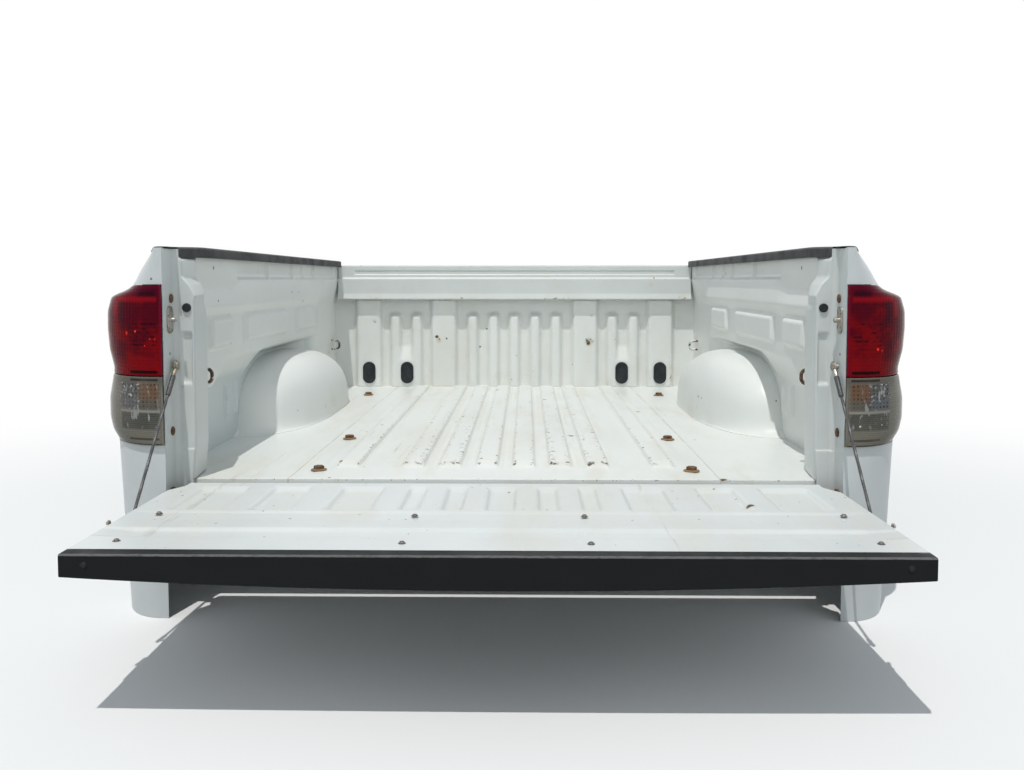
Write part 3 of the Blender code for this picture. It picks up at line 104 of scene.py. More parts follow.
class Flow:
    """One output socket of a material. Operators on values add Math nodes, and node() adds any other node."""

    def __init__(self, tree, socket=None):
        self.tree = tree
        self.socket = socket

    def node(self, kind, inputs=(), out=0, **settings):
        """Adds a node: settings first, then values or links by socket name or number."""
        made = self.tree.nodes.new(kind)
        for name, value in settings.items():
            setattr(made, name, value)
        for key, value in dict(inputs).items():
            if isinstance(value, Flow):
                self.tree.links.new(value.socket, made.inputs[key])
            else:
                made.inputs[key].default_value = value
        return Flow(self.tree, made.outputs[out])

    def beside(self, out):
        """Another output of the same node."""
        return Flow(self.tree, self.socket.node.outputs[out])

    def sum(self, operation, *values):
        """A Math node's operation on values."""
        return self.node("ShaderNodeMath", enumerate(values), operation=operation)

    def __add__(self, other):
        return self.sum("ADD", self, other)

    def __sub__(self, other):
        return self.sum("SUBTRACT", self, other)

    def __rsub__(self, other):
        return self.sum("SUBTRACT", other, self)

    def __mul__(self, other):
        return self.sum("MULTIPLY", self, other)

    def __neg__(self):
        return self.sum("MULTIPLY", self, -1.0)

    __radd__ = __add__
    __rmul__ = __mul__


def noise(place, scale, detail=4.0, stretch=None, rough=0.55):
    """Fractal noise on stretched coordinates, 0 to 1."""
    spot = place.node("ShaderNodeMapping", {"Vector": place, "Scale": stretch}) if stretch else place
    return place.node("ShaderNodeTexNoise",
                      {"Vector": spot, "Scale": scale, "Detail": detail, "Roughness": rough})


def band(value, low, high):
    """A smooth step from 0 at low to 1 at high."""
    return value.node("ShaderNodeMapRange", {0: value, 1: low, 2: high}, interpolation_type="SMOOTHSTEP")


def mixed(share, under, over):
    """Colour under, covered by colour over to a share; a colour is a flow, or red, green and blue."""
    under, over = [colour if isinstance(colour, Flow) else (*colour, 1.0) for colour in (under, over)]
    return share.node("ShaderNodeMix", {0: share, 6: under, 7: over}, out=2, data_type="RGBA")


def most(*masks):
    """The largest of several masks."""
    top = masks[0]
    for mask in masks[1:]:
        top = top.sum("MAXIMUM", top, mask)
    return top


def relief(height, depth):
    """A bump of a given depth in metres."""
    return height.node("ShaderNodeBump", {"Height": height, "Distance": depth, "Strength": 1.0}, out="Normal")


def finish(name, sockets, **constants):
    """A Principled material: sockets(place) gives what changes over the surface, constants what doesn't."""
    material = bpy.data.materials.new(name)
    material.use_nodes = True
    tree = material.node_tree
    shader = tree.nodes["Principled BSDF"]
    for socket, value in constants.items():
        shader.inputs[socket.replace("_", " ")].default_value = value
    place = Flow(tree).node("ShaderNodeTexCoord", out="Object")
    for socket, flow in sockets(place).items():
        tree.links.new(flow.socket, shader.inputs[socket])
    return material


def spread(x, y, h):
    """Points from three arrays of places that stretch to one shape."""
    return np.stack(np.broadcast_arrays(x, y, h), axis=-1)


def grid(points, wrap=False, keep=None):
    """Quads between the neighbours of a (rows, columns, 3) grid; wrap closes each row into a ring."""
    rows, columns = points.shape[:2]
    number = np.arange(rows * columns).reshape(rows, columns)
    if wrap:
        number = np.concatenate([number, number[:, :1]], axis=1)
    faces = np.stack([number[:-1, :-1], number[1:, :-1], number[1:, 1:], number[:-1, 1:]], axis=-1)
    faces = faces.reshape(-1, 4) if keep is None else faces[keep]
    return points.reshape(-1, 3), faces


def diagonals_cross(form):
    """Cross product of each face's diagonals: twice its area, along its normal."""
    points, faces = form
    return np.cross(points[faces[:, 2]] - points[faces[:, 0]], points[faces[:, 3]] - points[faces[:, 1]])


def turned_over(form):
    """The same form with its faces pointing the other way."""
    points, faces = form
    return points, faces[:, [1, 0, 3, 2]]


def facing(form, spot):
    """A form with its faces turned so that, by area, they look towards a spot."""
    points, faces = form
    away = ((points[faces].mean(axis=1) - np.asarray(spot)) * diagonals_cross(form)).sum()
    return turned_over(form) if away > 0 else form


def outward(form):
    """A closed form with its faces turned outwards, by the sign of the volume they hold."""
    middle = form[0].mean(axis=0)
    return turned_over(facing(form, middle))


def mirrored(form, sign):
    """A form for the side given by sign: the left one is the right one's mirror image, faces turned back."""
    points, faces = form
    if sign > 0:
        return points, faces
    return turned_over((points * np.array([-1.0, 1.0, 1.0]), faces))


def welded(form):
    """Merges points that share a place; a quad left with three corners is kept as a, b, c, c."""
    points, faces = form
    first, number = np.unique(np.round(points, 6), axis=0, return_index=True, return_inverse=True)[1:]
    faces = number.reshape(-1)[faces]
    doubled = faces == np.roll(faces, -1, axis=1)
    faces = faces[doubled.sum(axis=1) < 2]
    doubled = faces == np.roll(faces, -1, axis=1)
    turn = np.where(doubled.any(axis=1), doubled.argmax(axis=1) + 2, 0)
    order = (np.arange(4)[None, :] + turn[:, None]) % 4
    return points[first], np.take_along_axis(faces, order, axis=1)


def point_normals(form):
    """Sum of the faces' diagonal cross products round each point, at unit length."""
    points, faces = form
    total = np.zeros_like(points)
    np.add.at(total, faces, diagonals_cross(form)[:, None, :])
    return total / np.maximum(np.linalg.norm(total, axis=1, keepdims=True), 1e-12)


def bend(form):
    """How sharply a sheet turns at each point: the normals' change along its edges over their length, as a
    share of a full bend; + where the sheet bulges and - where it is hollow."""
    points, faces = form
    normals = point_normals(form)
    tail, head = faces.reshape(-1), np.roll(faces, -1, axis=1).reshape(-1)
    run = points[head] - points[tail]
    length = np.maximum((run * run).sum(axis=1), 1e-9)
    rate = ((normals[head] - normals[tail]) * run).sum(axis=1) / length
    total, count = np.zeros(len(points)), np.zeros(len(points))
    for end in (tail, head):
        np.add.at(total, end, rate)
        np.add.at(count, end, 1.0)
    return np.clip(total / np.maximum(count, 1.0) / FULL_BEND, -1.0, 1.0)


def thickened(form, gauge):
    """A sheet's front, its back a gauge behind along the normals, and the rim that joins their open edges."""
    points, faces = form
    count = len(points)
    back = points - gauge * point_normals(form)
    edges = np.stack([faces, np.roll(faces, -1, axis=1)], axis=-1).reshape(-1, 2)
    edges = edges[edges[:, 0] != edges[:, 1]]
    paired = np.isin(edges[:, 0] * count + edges[:, 1], edges[:, 1] * count + edges[:, 0])
    rim = edges[~paired]
    rim = np.stack([rim[:, 1], rim[:, 0], rim[:, 0] + count, rim[:, 1] + count], axis=1)
    return (np.concatenate([points, back, points, back]),
            np.concatenate([faces, faces[:, [1, 0, 3, 2]] + count, rim + 2 * count]))


def piece(name, forms, material, body, nodes=(), gauge=0.0, sharp=38.0, marks=None):
    """One object from forms in bed coordinates: thickened, riding on a body and standing for CAD nodes.

    Its bend attribute tells worn edges from dirty corners; marks(points) gives extra wear, 0 to 1, by place.
    """
    stack, turns, count = [], [], 0
    for form in forms:
        form = welded(form)
        turn = bend(form)
        if gauge:
            form = thickened(form, gauge)
            turn = np.concatenate([turn, np.zeros_like(turn), np.ones_like(turn), np.ones_like(turn)])
        stack.append((form[0], form[1] + count))
        turns.append(turn)
        count += len(form[0])
    points = np.concatenate([form[0] for form in stack])
    faces = np.concatenate([form[1] for form in stack])
    three = faces[:, 2] == faces[:, 3]
    mesh = bpy.data.meshes.new(name)
    mesh.from_pydata((points + BED).tolist(), [], faces[~three].tolist() + faces[three][:, :3].tolist())
    worn = np.zeros(len(points)) if marks is None else np.clip(marks(points), 0.0, 1.0)
    for label, values in (("bend", np.concatenate(turns)), ("worn", worn)):
        layer = mesh.attributes.new(label, "FLOAT", "POINT")
        layer.data.foreach_set("value", values.astype(np.float32))
    mesh.shade_smooth()
    mesh.set_sharp_from_angle(angle=math.radians(sharp))
    mesh.materials.append(material)
    obj = bpy.data.objects.new(name, mesh)
    bpy.context.scene.collection.objects.link(obj)
    if body:
        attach(obj, body)
    if nodes:
        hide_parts(*nodes)
    return obj


def round_angles(sides):
    """Angles of a ring's points."""
    return np.linspace(0.0, 2.0 * math.pi, sides, endpoint=False)


def lathe(centre, axis, radii, stands, sides=32):
    """Rings about an axis (0, 1 or 2) through a centre, each with a radius, or one per angle, and a stand."""
    angle = round_angles(sides)
    radii = np.reshape(radii, (len(stands), -1))
    rings = [radii * np.cos(angle), radii * np.sin(angle)]
    rings.insert(axis, np.reshape(stands, (-1, 1)))
    return outward(grid(np.asarray(centre) + spread(*rings), wrap=True))


def along(start, line, radii, spots, sides=20, twist=None):
    """A tube from start along a line in the Y-Z plane, with radii at spots; twist lays strands round it."""
    flat = np.array([1.0, 0.0, 0.0])
    up = np.cross(line, flat)
    angle = round_angles(sides)
    radius = np.repeat(radii[:, None], sides, axis=1)
    if twist:
        wave = np.cos(STRANDS * angle[None, :] + 2.0 * math.pi * spots[:, None] / twist)
        radius = radius * (1.0 - STRAND_DEPTH + STRAND_DEPTH * wave)
    ring = np.cos(angle)[:, None] * flat + np.sin(angle)[:, None] * up
    return outward(grid(start + spots[:, None, None] * line + radius[:, :, None] * ring, wrap=True))


def ring_eye(centre):
    """A flat ring about the X axis: a rounded rim outside and a plain bore."""
    shoulder = EYE_RIM - EYE_ROUND
    radii = (EYE_BORE, shoulder, EYE_RIM, EYE_RIM, shoulder, EYE_BORE, EYE_BORE)
    return lathe(centre, 0, radii, np.array([-1.0, -1.0, -0.6, 0.6, 1.0, 1.0, -1.0]) * EYE_THICK / 2)


def jacket(place):
    """Scuffed dark plastic over wire: grey scratches along it and a dusty film."""
    rub = band(noise(place, 60.0, 6.0, (1.0, 1.0, 3.0)), 0.52, 0.70)
    dust = band(noise(place, 22.0, 5.0), 0.45, 0.75)
    colour = mixed(rub * 0.5, (0.045, 0.046, 0.050), (0.16, 0.16, 0.16))
    return {"Base Color": mixed(dust * 0.35, colour, (0.20, 0.18, 0.15)),
            "Roughness": 0.42 + dust * 0.25}


def dull_plating(place):
    """Zinc gone dull and brassy, with brown rust spreading in patches."""
    rust = band(noise(place, 90.0, 6.0), 0.52, 0.68)
    tarnish = band(noise(place, 30.0, 4.0), 0.35, 0.70)
    colour = mixed(tarnish, (0.50, 0.49, 0.46), (0.33, 0.29, 0.21))
    return {"Base Color": mixed(rust * 0.85, colour, (0.16, 0.075, 0.03)),
            "Roughness": 0.32 + tarnish * 0.2 + rust * 0.35, "Metallic": 0.95 - rust * 0.85,
            "Normal": relief(noise(place, 400.0, 3.0) + rust, 0.0004)}


cable_jacket = finish("cable_jacket", jacket)
plated_steel = finish("plated_steel", dull_plating)
for side, sign in SIDES:
    flip = np.array([sign, 1.0, 1.0])
    top, bottom = CABLE_TOP * flip, CABLE_BOTTOM * flip
    span = float(np.linalg.norm(bottom - top))
    line = (bottom - top) / span
    first = top + line * CABLE_NECK
    run = span - 2 * CABLE_NECK
    strand = along(first, line, np.full(CABLE_RINGS, CABLE_RADIUS), np.linspace(0.0, run, CABLE_RINGS),
                   CABLE_SIDES, STRAND_LAY)
    rope = piece(f"{side}_cable", [strand], cable_jacket, None, [f"{side}_check_cable"])
    cover = along(top + line * SLEEVE_START, line, SLEEVE_RADII, SLEEVE_SPOTS)
    rubber = finish(f"{side}_sleeve_rubber", jacket)
    sleeve = piece(f"{side}_cable_sleeve", [cover], rubber, None)
    for part in (rope, sleeve):
        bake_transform(part)
    for where, centre, heading, body in (("upper", top, line, "bed"), ("lower", bottom, -line, "tailgate")):
        crimp = along(centre + heading * CRIMP_START, heading, CRIMP_RADII, CRIMP_SPOTS)
        piece(f"{side}_{where}_eye", [ring_eye(centre), crimp], plated_steel,
                              body)
    route = first + BED + np.linspace(0.0, run, 24)[:, None] * line

# Bed floor
# One wide pressing of painted steel with eight raised ribs along it, seam welded to a flat at each side and
# turned down in a lip at the rear. Sliding loads have stained it yellow and chipped its ribs to rust.
FLOOR_HALF, FLOOR_END = 0.8297, 1.9997
SHEET, FIT = 0.0016, 0.0003
RIB_RISE, RIB_HALF, RIB_FLANK = 0.010, 0.0235, 0.009
RIB_X = np.array([-0.400, -0.235, -0.141, -0.047, 0.047, 0.141, 0.235, 0.400])
RIB_REAR, RIB_FRONT = (0.140, 0.190), (1.930, 1.960)
NOTCH_X, NOTCH_Y = 0.700, (0.750, 1.470)
LIP_Y, LIP_FOOT_H, LIP_BEND_H, LIP_ROUND = 0.010, -0.030, -0.006, 0.0016
FLOOR_START = 0.016
SEAM_X, SEAM_RISE, SEAM_WIDTH = 0.515, 0.0012, 0.0035
FLAT_STEP, FLAT_SINK = (0.460, 0.470), 0.0012
FLOOR_BENDS = ((0.460, 0.474), (0.508, 0.522), (NOTCH_X, NOTCH_X))
WHITE = (0.79, 0.81, 0.785)
YELLOW_FILM = (0.64, 0.60, 0.48)


def ease(value, low, high):
    """A smooth step in numbers: 0 up to low, 1 from high on, a cubic between."""
    share = np.clip((value - low) / (high - low), 0.0, 1.0)
    return share * share * (3.0 - 2.0 * share)


def stations(low, high, step, *bends):
    """Places from low to high at a step, with seven more across each (start, stop) bend."""
    extra = [np.linspace(start, stop, 7) for start, stop in bends]
    even = np.linspace(low, high, int((high - low) / step) + 2)
    return np.unique(np.round(np.concatenate([even, *extra]), 6))


def voronoi(place, scale, shake):
    """Distance in a net of random cells; shake moves the net about for ragged shapes."""
    cloud = place.node("ShaderNodeTexNoise", {"Vector": place, "Scale": scale * 1.7, "Detail": 3.0},
                       out="Color")
    shift = place.node("ShaderNodeVectorMath", {0: cloud, "Scale": shake}, operation="SCALE")
    spot = place.node("ShaderNodeVectorMath", {0: place, 1: shift}, operation="ADD")
    return place.node("ShaderNodeTexVoronoi", {"Vector": spot, "Scale": scale}, feature="F1")


def specks(place, scale, share, size, shake=0.01, least=-0.05):
    """Ragged marks: a share of a net's cells has one, with a radius from least to size drawn by its cell."""
    net = voronoi(place, scale, shake)
    draw = net.node("ShaderNodeSeparateColor", {0: net.beside("Color")})
    radius = draw.node("ShaderNodeMapRange", {0: draw, 1: 1.0 - share, 2: 1.0, 3: least, 4: size})
    return band(radius - net, -0.02, 0.03)


def window(value, low, high, soft):
    """1 between low and high, with soft edges."""
    return band(value, low - soft, low + soft) * (1.0 - band(value, high - soft, high + soft))


def bells(place, places):
    """The largest of soft round masks at (x, y, h, radius, strength) places."""
    masks = []
    for x, y, h, radius, strength in places:
        spot = tuple(np.array([x, y, h]) + BED)
        far = place.node("ShaderNodeVectorMath", {0: place, 1: spot}, out="Value", operation="DISTANCE")
        masks.append((1.0 - band(far, 0.3 * radius, radius)) * strength)
    return most(*masks)


def bed_axes(place):
    """Distance from the middle, place along the bed and height above the floor."""
    axes = place.node("ShaderNodeSeparateXYZ", {0: place})
    return axes.sum("ABSOLUTE", axes), axes.beside("Y") - float(BED[1]), axes.beside("Z") - float(BED[2])


def worn_paint(dirt, chips, rub, marks=(), holes=(), base=WHITE):
    """White paint: a cloudy tone, a dirt film that gathers in corners, thin rubbed lines, rusty chips on
    edges and scuffs at marked places; holes are small dark clip holes."""
    def sockets(place):
        turn = place.node("ShaderNodeAttribute", out="Fac", attribute_name="bend")
        worn = place.node("ShaderNodeAttribute", out="Fac", attribute_name="worn")
        if marks:
            worn = most(worn, bells(place, marks))
        corner = band(-turn, 0.02, 0.5)
        edge = band(turn, 0.05, 0.6)
        cloud = noise(place, 2.4, 5.0, (1.5, 0.6, 1.0))
        patch = noise(place, 9.0, 7.0, (1.6, 0.35, 1.2), 0.62)
        stain = band(cloud * 0.5 + patch * 0.5, 0.47, 0.66)
        pooled = corner * band(patch, 0.34, 0.62) * (0.10 + 0.6 * dirt)
        grime = most(stain * dirt, pooled, worn * patch * 0.8)
        lines = band(noise(place, 26.0, 8.0, (1.0, 0.045, 1.0), 0.68), 0.60, 0.72) * band(cloud, 0.38, 0.6)
        pits = specks(place, 34.0, 0.05 * chips, 0.16)
        chip = specks(place, 15.0, 0.045 * chips, 0.20, 0.02)
        flaked = band(noise(place, 70.0, 6.0, rough=0.7) + edge * 0.10 * chips + worn * 0.24, 0.72, 0.80)
        rust = most(pits, chip, flaked * most(edge, worn))
        halo = most(specks(place, 15.0, 0.045 * chips, 0.32, 0.02, -0.15), worn * band(patch, 0.42, 0.62))
        tone = mixed(band(cloud, 0.30, 0.70), base, tuple(0.94 * part for part in base))
        tone = mixed(grime, tone, YELLOW_FILM)
        tone = mixed(lines * rub, tone, (0.46, 0.42, 0.35))
        tone = mixed(halo * 0.28, tone, (0.52, 0.41, 0.28))
        brown = mixed(band(noise(place, 160.0, 4.0), 0.35, 0.65), (0.060, 0.043, 0.034), (0.15, 0.088, 0.050))
        tone = mixed(rust, tone, brown)
        if holes:
            tone = mixed(bells(place, [(*hole, 1.0) for hole in holes]), tone, (0.05, 0.04, 0.03))
        height = noise(place, 7.0, 2.0) * 4.0 + noise(place, 900.0, 2.0) * 0.05 - rust * 0.5
        return {"Base Color": tone,
                "Roughness": 0.30 + grime * 0.30 + lines * (0.15 * rub) + rust * 0.35 + patch * 0.10,
                "Normal": relief(height, 0.0006)}
    return sockets


def rib_shape(x):
    """1 on the ribs and 0 between them, with smooth flanks."""
    off = np.abs(x[..., None] - RIB_X).min(axis=-1)
    return 1.0 - ease(off, RIB_HALF, RIB_HALF + RIB_FLANK)


def floor_wear(points):
    """Wear along the rear lip, at the rear ends of the ribs and on the rear third of their edges."""
    x, y = points[:, 0], points[:, 1]
    flank = np.abs(np.abs(x[:, None] - RIB_X).min(axis=1) - RIB_HALF - 0.3 * RIB_FLANK)
    ends = np.exp(-((y - 0.172) / 0.016) ** 2) * rib_shape(x)
    edges = np.exp(-(flank / 0.006) ** 2) * (1.0 - 0.75 * ease(y, 0.25, 1.2)) * ease(y, 0.12, 0.2)
    lip = np.exp(-((y - 0.012) / 0.010) ** 2)
    return np.maximum(np.maximum(0.55 * ends, 0.20 * edges), 0.10 * lip)


def seamed_paint(place):
    """Worn paint with a broken brown line of dirt along each side seam."""
    made = worn_paint(0.36, 1.2, 0.6)(place)
    out, reach, up = bed_axes(place)
    line = window(out, SEAM_X - 0.0014, SEAM_X + 0.0012, 0.0010) * band(noise(place, 7.0, 3.0), 0.34, 0.58)
    made["Base Color"] = mixed(line * 0.7, made["Base Color"], (0.36, 0.28, 0.18))
    return made


def floor_form():
    """Stations across the ribs' flanks, the seams and the notches, and along the bed from the foot of a
    rounded lip; the ribs rise smoothly and run out at both ends, and the notches for the wheel housings stay
    open."""
    flanks = [(rib + edge * RIB_HALF, rib + edge * (RIB_HALF + RIB_FLANK))
              for rib in RIB_X for edge in (-1, 1)]
    bends = [(edge * start, edge * stop) for start, stop in FLOOR_BENDS for edge in (-1, 1)]
    across = stations(-FLOOR_HALF, FLOOR_HALF, 0.03, *flanks, *bends)
    turn = np.linspace(0.0, math.pi / 2, 6)
    run = stations(FLOOR_START, FLOOR_END, 0.05, RIB_REAR, RIB_FRONT, *[(edge, edge) for edge in NOTCH_Y])
    y = np.concatenate([[LIP_Y, LIP_Y], LIP_Y + LIP_ROUND * (1.0 - np.cos(turn)), run])
    h = np.concatenate([[LIP_FOOT_H, LIP_BEND_H], LIP_ROUND * (np.sin(turn) - 1.0), 0.0 * run])
    x = across[:, None]
    rise = RIB_RISE * rib_shape(x) * ease(y, *RIB_REAR) * (1.0 - ease(y, *RIB_FRONT))
    rise += SEAM_RISE * np.exp(-((np.abs(x) - SEAM_X) / SEAM_WIDTH) ** 2) * ease(y, 0.10, 0.13)
    rise -= FLAT_SINK * ease(np.abs(x), *FLAT_STEP) * ease(y, 0.03, 0.06)
    middle_x = np.abs(x[:-1] + x[1:]) / 2
    middle_y = (y[:-1] + y[1:]) / 2
    in_notch = (middle_x > NOTCH_X) & (middle_y > NOTCH_Y[0]) & (middle_y < NOTCH_Y[1])
    return facing(grid(spread(x, y, h + rise), keep=~in_notch), (0.0, 1.0, 1.0))


floor_paint = finish("floor_paint", seamed_paint, Specular_IOR_Level=0.35)
piece("floor_sheet", [floor_form()], floor_paint, "bed", ["bed_floor"], SHEET,
      marks=floor_wear)

# Cross sills
# Folded hat sections welded under the floor. They carry it on the chassis and are sprayed with dull grey
# underseal, dusty and starting to rust along their edges.
SILL_ROUND = 0.0012


def underseal(place):
    """Sprayed grey underseal: pebbled, dusty, with rust coming through in patches."""
    rust = band(noise(place, 14.0, 7.0, rough=0.65), 0.56, 0.70)
    dust = band(noise(place, 5.0, 5.0), 0.35, 0.70)
    colour = mixed(dust, (0.24, 0.24, 0.23), (0.40, 0.36, 0.29))
    return {"Base Color": mixed(rust * 0.8, colour, (0.17, 0.085, 0.04)), "Roughness": 0.62 + rust * 0.25,
            "Normal": relief(noise(place, 260.0, 4.0), 0.0008)}


def dress(names, material, round_edge=0.0):
    """Gives CAD nodes that stay as they are a finished material, and softens their edges."""
    for name in names:
        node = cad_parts[name]
        for slot in node.material_slots:
            slot.material = material
        if round_edge:
            node.modifiers.new("weld", "WELD").merge_threshold = 1e-5
            edge = node.modifiers.new("edge", "BEVEL")
            edge.width = round_edge
            edge.segments = 2
            edge.limit_method = "ANGLE"
            edge.angle_limit = math.radians(30.0)


sill_underseal = finish("sill_underseal", underseal)
dress([f"cross_sill_{number}" for number in (1, 2, 3, 4)], sill_underseal, SILL_ROUND)

# Floor bolts
# Flanged hex bolts, forged steel, that clamp the floor and its sills to the chassis. Bare steel, rusted brown
# all over, with ochre rust on the flange.
BOLTS = (("rear", 0.463, 0.112), ("middle", 0.473, 0.579), ("front", 0.597, 1.662))
FLANGE_TOP = 0.0043


def bare_rust(place):
    """Rusted bare steel: dark scale with orange-brown blooms, pitted, ochre down at the floor."""
    bloom = band(noise(place, 120.0, 6.0, rough=0.65), 0.40, 0.66)
    scale = band(noise(place, 40.0, 4.0), 0.45, 0.65)
    colour = mixed(bloom, (0.075, 0.042, 0.026), (0.25, 0.125, 0.055))
    out, reach, up = bed_axes(place)
    low = window(up, -0.001, FLANGE_TOP, 0.0003) * band(reach, -0.018, 0.002)
    colour = mixed(low * 0.75, colour, (0.34, 0.215, 0.095))
    return {"Base Color": mixed(scale * 0.5, colour, (0.18, 0.13, 0.09)), "Roughness": 0.72 + bloom * 0.2,
            "Normal": relief(bloom + noise(place, 600.0, 3.0), 0.0005)}


def hex_bolt(x, y):
    """Rings of a round sloping flange, then of a hexagon: cos 30 / cos(angle to the nearest flat)."""
    flat = math.cos(math.pi / 6) / np.cos((round_angles(48) % (math.pi / 3)) - math.pi / 6)
    flange = np.array([0.0, 0.0196, 0.0200, 0.0198, 0.0140, 0.0134, 0.0, 0.0, 0.0, 0.0])
    head = np.array([0.0, 0.0, 0.0, 0.0, 0.0, 0.0, 0.0133, 0.0133, 0.0122, 0.0])
    height = (0.0, 0.0, 0.0008, 0.0020, 0.0038, 0.0042, 0.0044, 0.0096, 0.0111, 0.0113)
    return lathe((x, y, FIT), 2, flange[:, None] + head[:, None] * flat, height, 48)


rusty_steel = finish("rusty_steel", bare_rust, Metallic=0.25)
for side, sign in SIDES:
    for where, x, y in BOLTS:
        piece(f"{side}_{where}_hex_bolt", [hex_bolt(sign * x, y)], rusty_steel, "bed",
              [f"{side}_{where}_bolt"], sharp=25.0)

# Front bulkhead
# A pressing that shuts the front of the bed: broad and narrow ribs stand out of it towards the load, the
# narrow ones stop below the header, and each inner drain plug has a raised flat. It is spot welded to floor
# and sides.
BULKHEAD_Y, BULKHEAD_HALF = 2.000, 0.8002
BULKHEAD_H = (-0.012, 0.536)
BULKHEAD_ROUND = 0.008
RIB_STAND, RIB_SIDE = 0.024, 0.014
BROAD, NARROW = 0.097, 0.030
HALF_RIBS = ((0.092, NARROW), (0.184, NARROW), (0.313, BROAD),
             (0.433, NARROW), (0.527, NARROW), (0.646, BROAD))
RIB_FOOT, BROAD_HEAD, NARROW_HEAD = (-0.008, -0.003), (0.384, 0.398), (0.312, 0.330)
PLUG_X, PLUG_FLAT_HALF, PLUG_FLAT_HEAD = 0.476, 0.056, (0.112, 0.182)
BULKHEAD_MARKS = ((0.330, 1.976, 0.200, 0.030, 1.0), (-0.335, 1.976, 0.205, 0.018, 1.0),
                  (0.40, 1.98, 0.02, 0.05, 0.35), (-0.05, 1.98, 0.03, 0.06, 0.35),
                  (0.70, 1.98, 0.06, 0.07, 0.40), (-0.62, 1.98, 0.29, 0.015, 0.7),
                  (0.342, 1.98, 0.318, 0.012, 0.7), (-0.54, 1.99, 0.175, 0.02, 0.5))
ROUND_STEPS = 4


def softened(path, radius, axis=1):
    """Rounds the corners of a control grid along one axis: each corner becomes a parabola that starts and
    ends a radius away, or half-way to the next corner, with a point just outside each end to hold the flats
    flat."""
    if axis == 0:
        return softened(path.swapaxes(0, 1), radius).swapaxes(0, 1)
    corner = path[:, 1:-1]
    arms = [path[:, :-2] - corner, path[:, 2:] - corner]
    reach = [np.maximum(np.linalg.norm(arm, axis=2, keepdims=True), 1e-9) for arm in arms]
    start, stop = [corner + arm * np.minimum(0.5, radius / far) for arm, far in zip(arms, reach)]
    before, after = [corner + arm * np.minimum(0.5, 1.25 * radius / far) for arm, far in zip(arms, reach)]
    t = np.linspace(0.0, 1.0, ROUND_STEPS)[None, None, :, None]
    arc = (1 - t) ** 2 * start[:, :, None] + 2 * t * (1 - t) * corner[:, :, None] + t ** 2 * stop[:, :, None]
    arc = np.concatenate([before[:, :, None], arc, after[:, :, None]], axis=2)
    return np.concatenate([path[:, :1], arc.reshape(len(path), -1, 3), path[:, -1:]], axis=1)


def bulkhead_form():
    """Control grid, with its corners rounded: across the ribs' feet and edges, and up the ribs' ends. Each
    station has its own run of heights between which it stands out by the rib's stand."""
    heads = {BROAD: BROAD_HEAD, NARROW: NARROW_HEAD, None: PLUG_FLAT_HEAD}
    levels = np.unique(np.concatenate([RIB_FOOT, *heads.values(), BULKHEAD_H]))

    def stand(kind):
        return np.interp(levels, (*RIB_FOOT, *heads[kind]), (0.0, 1.0, 1.0, 0.0))

    columns = [(edge * BULKHEAD_HALF, 0.0 * levels) for edge in (-1, 1)]
    ribs = [(0.0, NARROW)] + [(edge * centre, width) for centre, width in HALF_RIBS for edge in (-1, 1)]
    for centre, width in ribs:
        for edge in (-1, 1):
            foot = centre + edge * (width / 2 + RIB_SIDE)
            by_plug = abs(abs(foot) - PLUG_X) < PLUG_FLAT_HALF
            columns += [(foot, stand(None) * by_plug), (centre + edge * width / 2, stand(width))]
    columns.sort(key=lambda column: column[0])
    x = np.array([column[0] for column in columns])[:, None]
    controls = spread(x, BULKHEAD_Y - RIB_STAND * np.array([column[1] for column in columns]), levels)
    rounded = softened(softened(controls, BULKHEAD_ROUND), BULKHEAD_ROUND, axis=0)
    return facing(grid(rounded), (0.0, 0.5, 0.3))


bulkhead_paint = finish("bulkhead_paint", worn_paint(0.16, 0.9, 0.2, BULKHEAD_MARKS), Specular_IOR_Level=0.35)
piece("bulkhead_sheet", [bulkhead_form()], bulkhead_paint, "bed", ["front_bulkhead"], SHEET)

# Bulkhead header
# A folded box along the bulkhead's top, with a long sunk groove in its face, a step below it and a lip at its
# foot. Steel, painted with the bed, scuffed along its step and lip where loads have leaned on it.
HEADER_HALF, HEADER_ROUND = 0.7755, 0.004
HEADER_PATH = np.array(((1.9757, 0.385), (1.9457, 0.389), (1.9537, 0.413), (1.9537, 0.479), (1.9637, 0.483),
                        (1.9637, 0.496), (1.9637, 0.498), (1.9637, 0.512), (1.9637, 0.514), (1.9637, 0.534),
                        (1.9677, 0.538), (2.030, 0.538), (2.030, 0.498)))
GROOVE_POINTS, GROOVE_DEPTH = (6, 7), 0.003
GROOVE_X = (0.700, 0.706)
# Painted shade: the header's white is a darker, cooler copy of the bed's white, for the weaker light on its
# rear face.
HEADER_SHADED_WHITE = (0.67, 0.705, 0.695)
HEADER_MARKS = ((0.025, 1.963, 0.490, 0.014, 0.5), (0.600, 1.954, 0.452, 0.016, 0.5),
                (-0.62, 1.953, 0.412, 0.05, 0.35), (0.2, 1.953, 0.412, 0.10, 0.30),
                (-0.2, 1.953, 0.412, 0.08, 0.30), (0.74, 1.95, 0.40, 0.03, 0.4))


def header_form():
    """A folded path in y and h swept across, two points of it sunk between the groove's ends; rounded."""
    x = np.array([-HEADER_HALF, -GROOVE_X[1], -GROOVE_X[0], *GROOVE_X, HEADER_HALF])[:, None]
    sunk = np.isin(np.arange(len(HEADER_PATH)), GROOVE_POINTS) & (np.abs(x) <= GROOVE_X[0])
    controls = spread(x, HEADER_PATH[:, 0] + GROOVE_DEPTH * sunk, HEADER_PATH[:, 1])
    rounded = softened(softened(controls, HEADER_ROUND), HEADER_ROUND, axis=0)
    return facing(grid(rounded), (0.0, 0.5, 0.8))


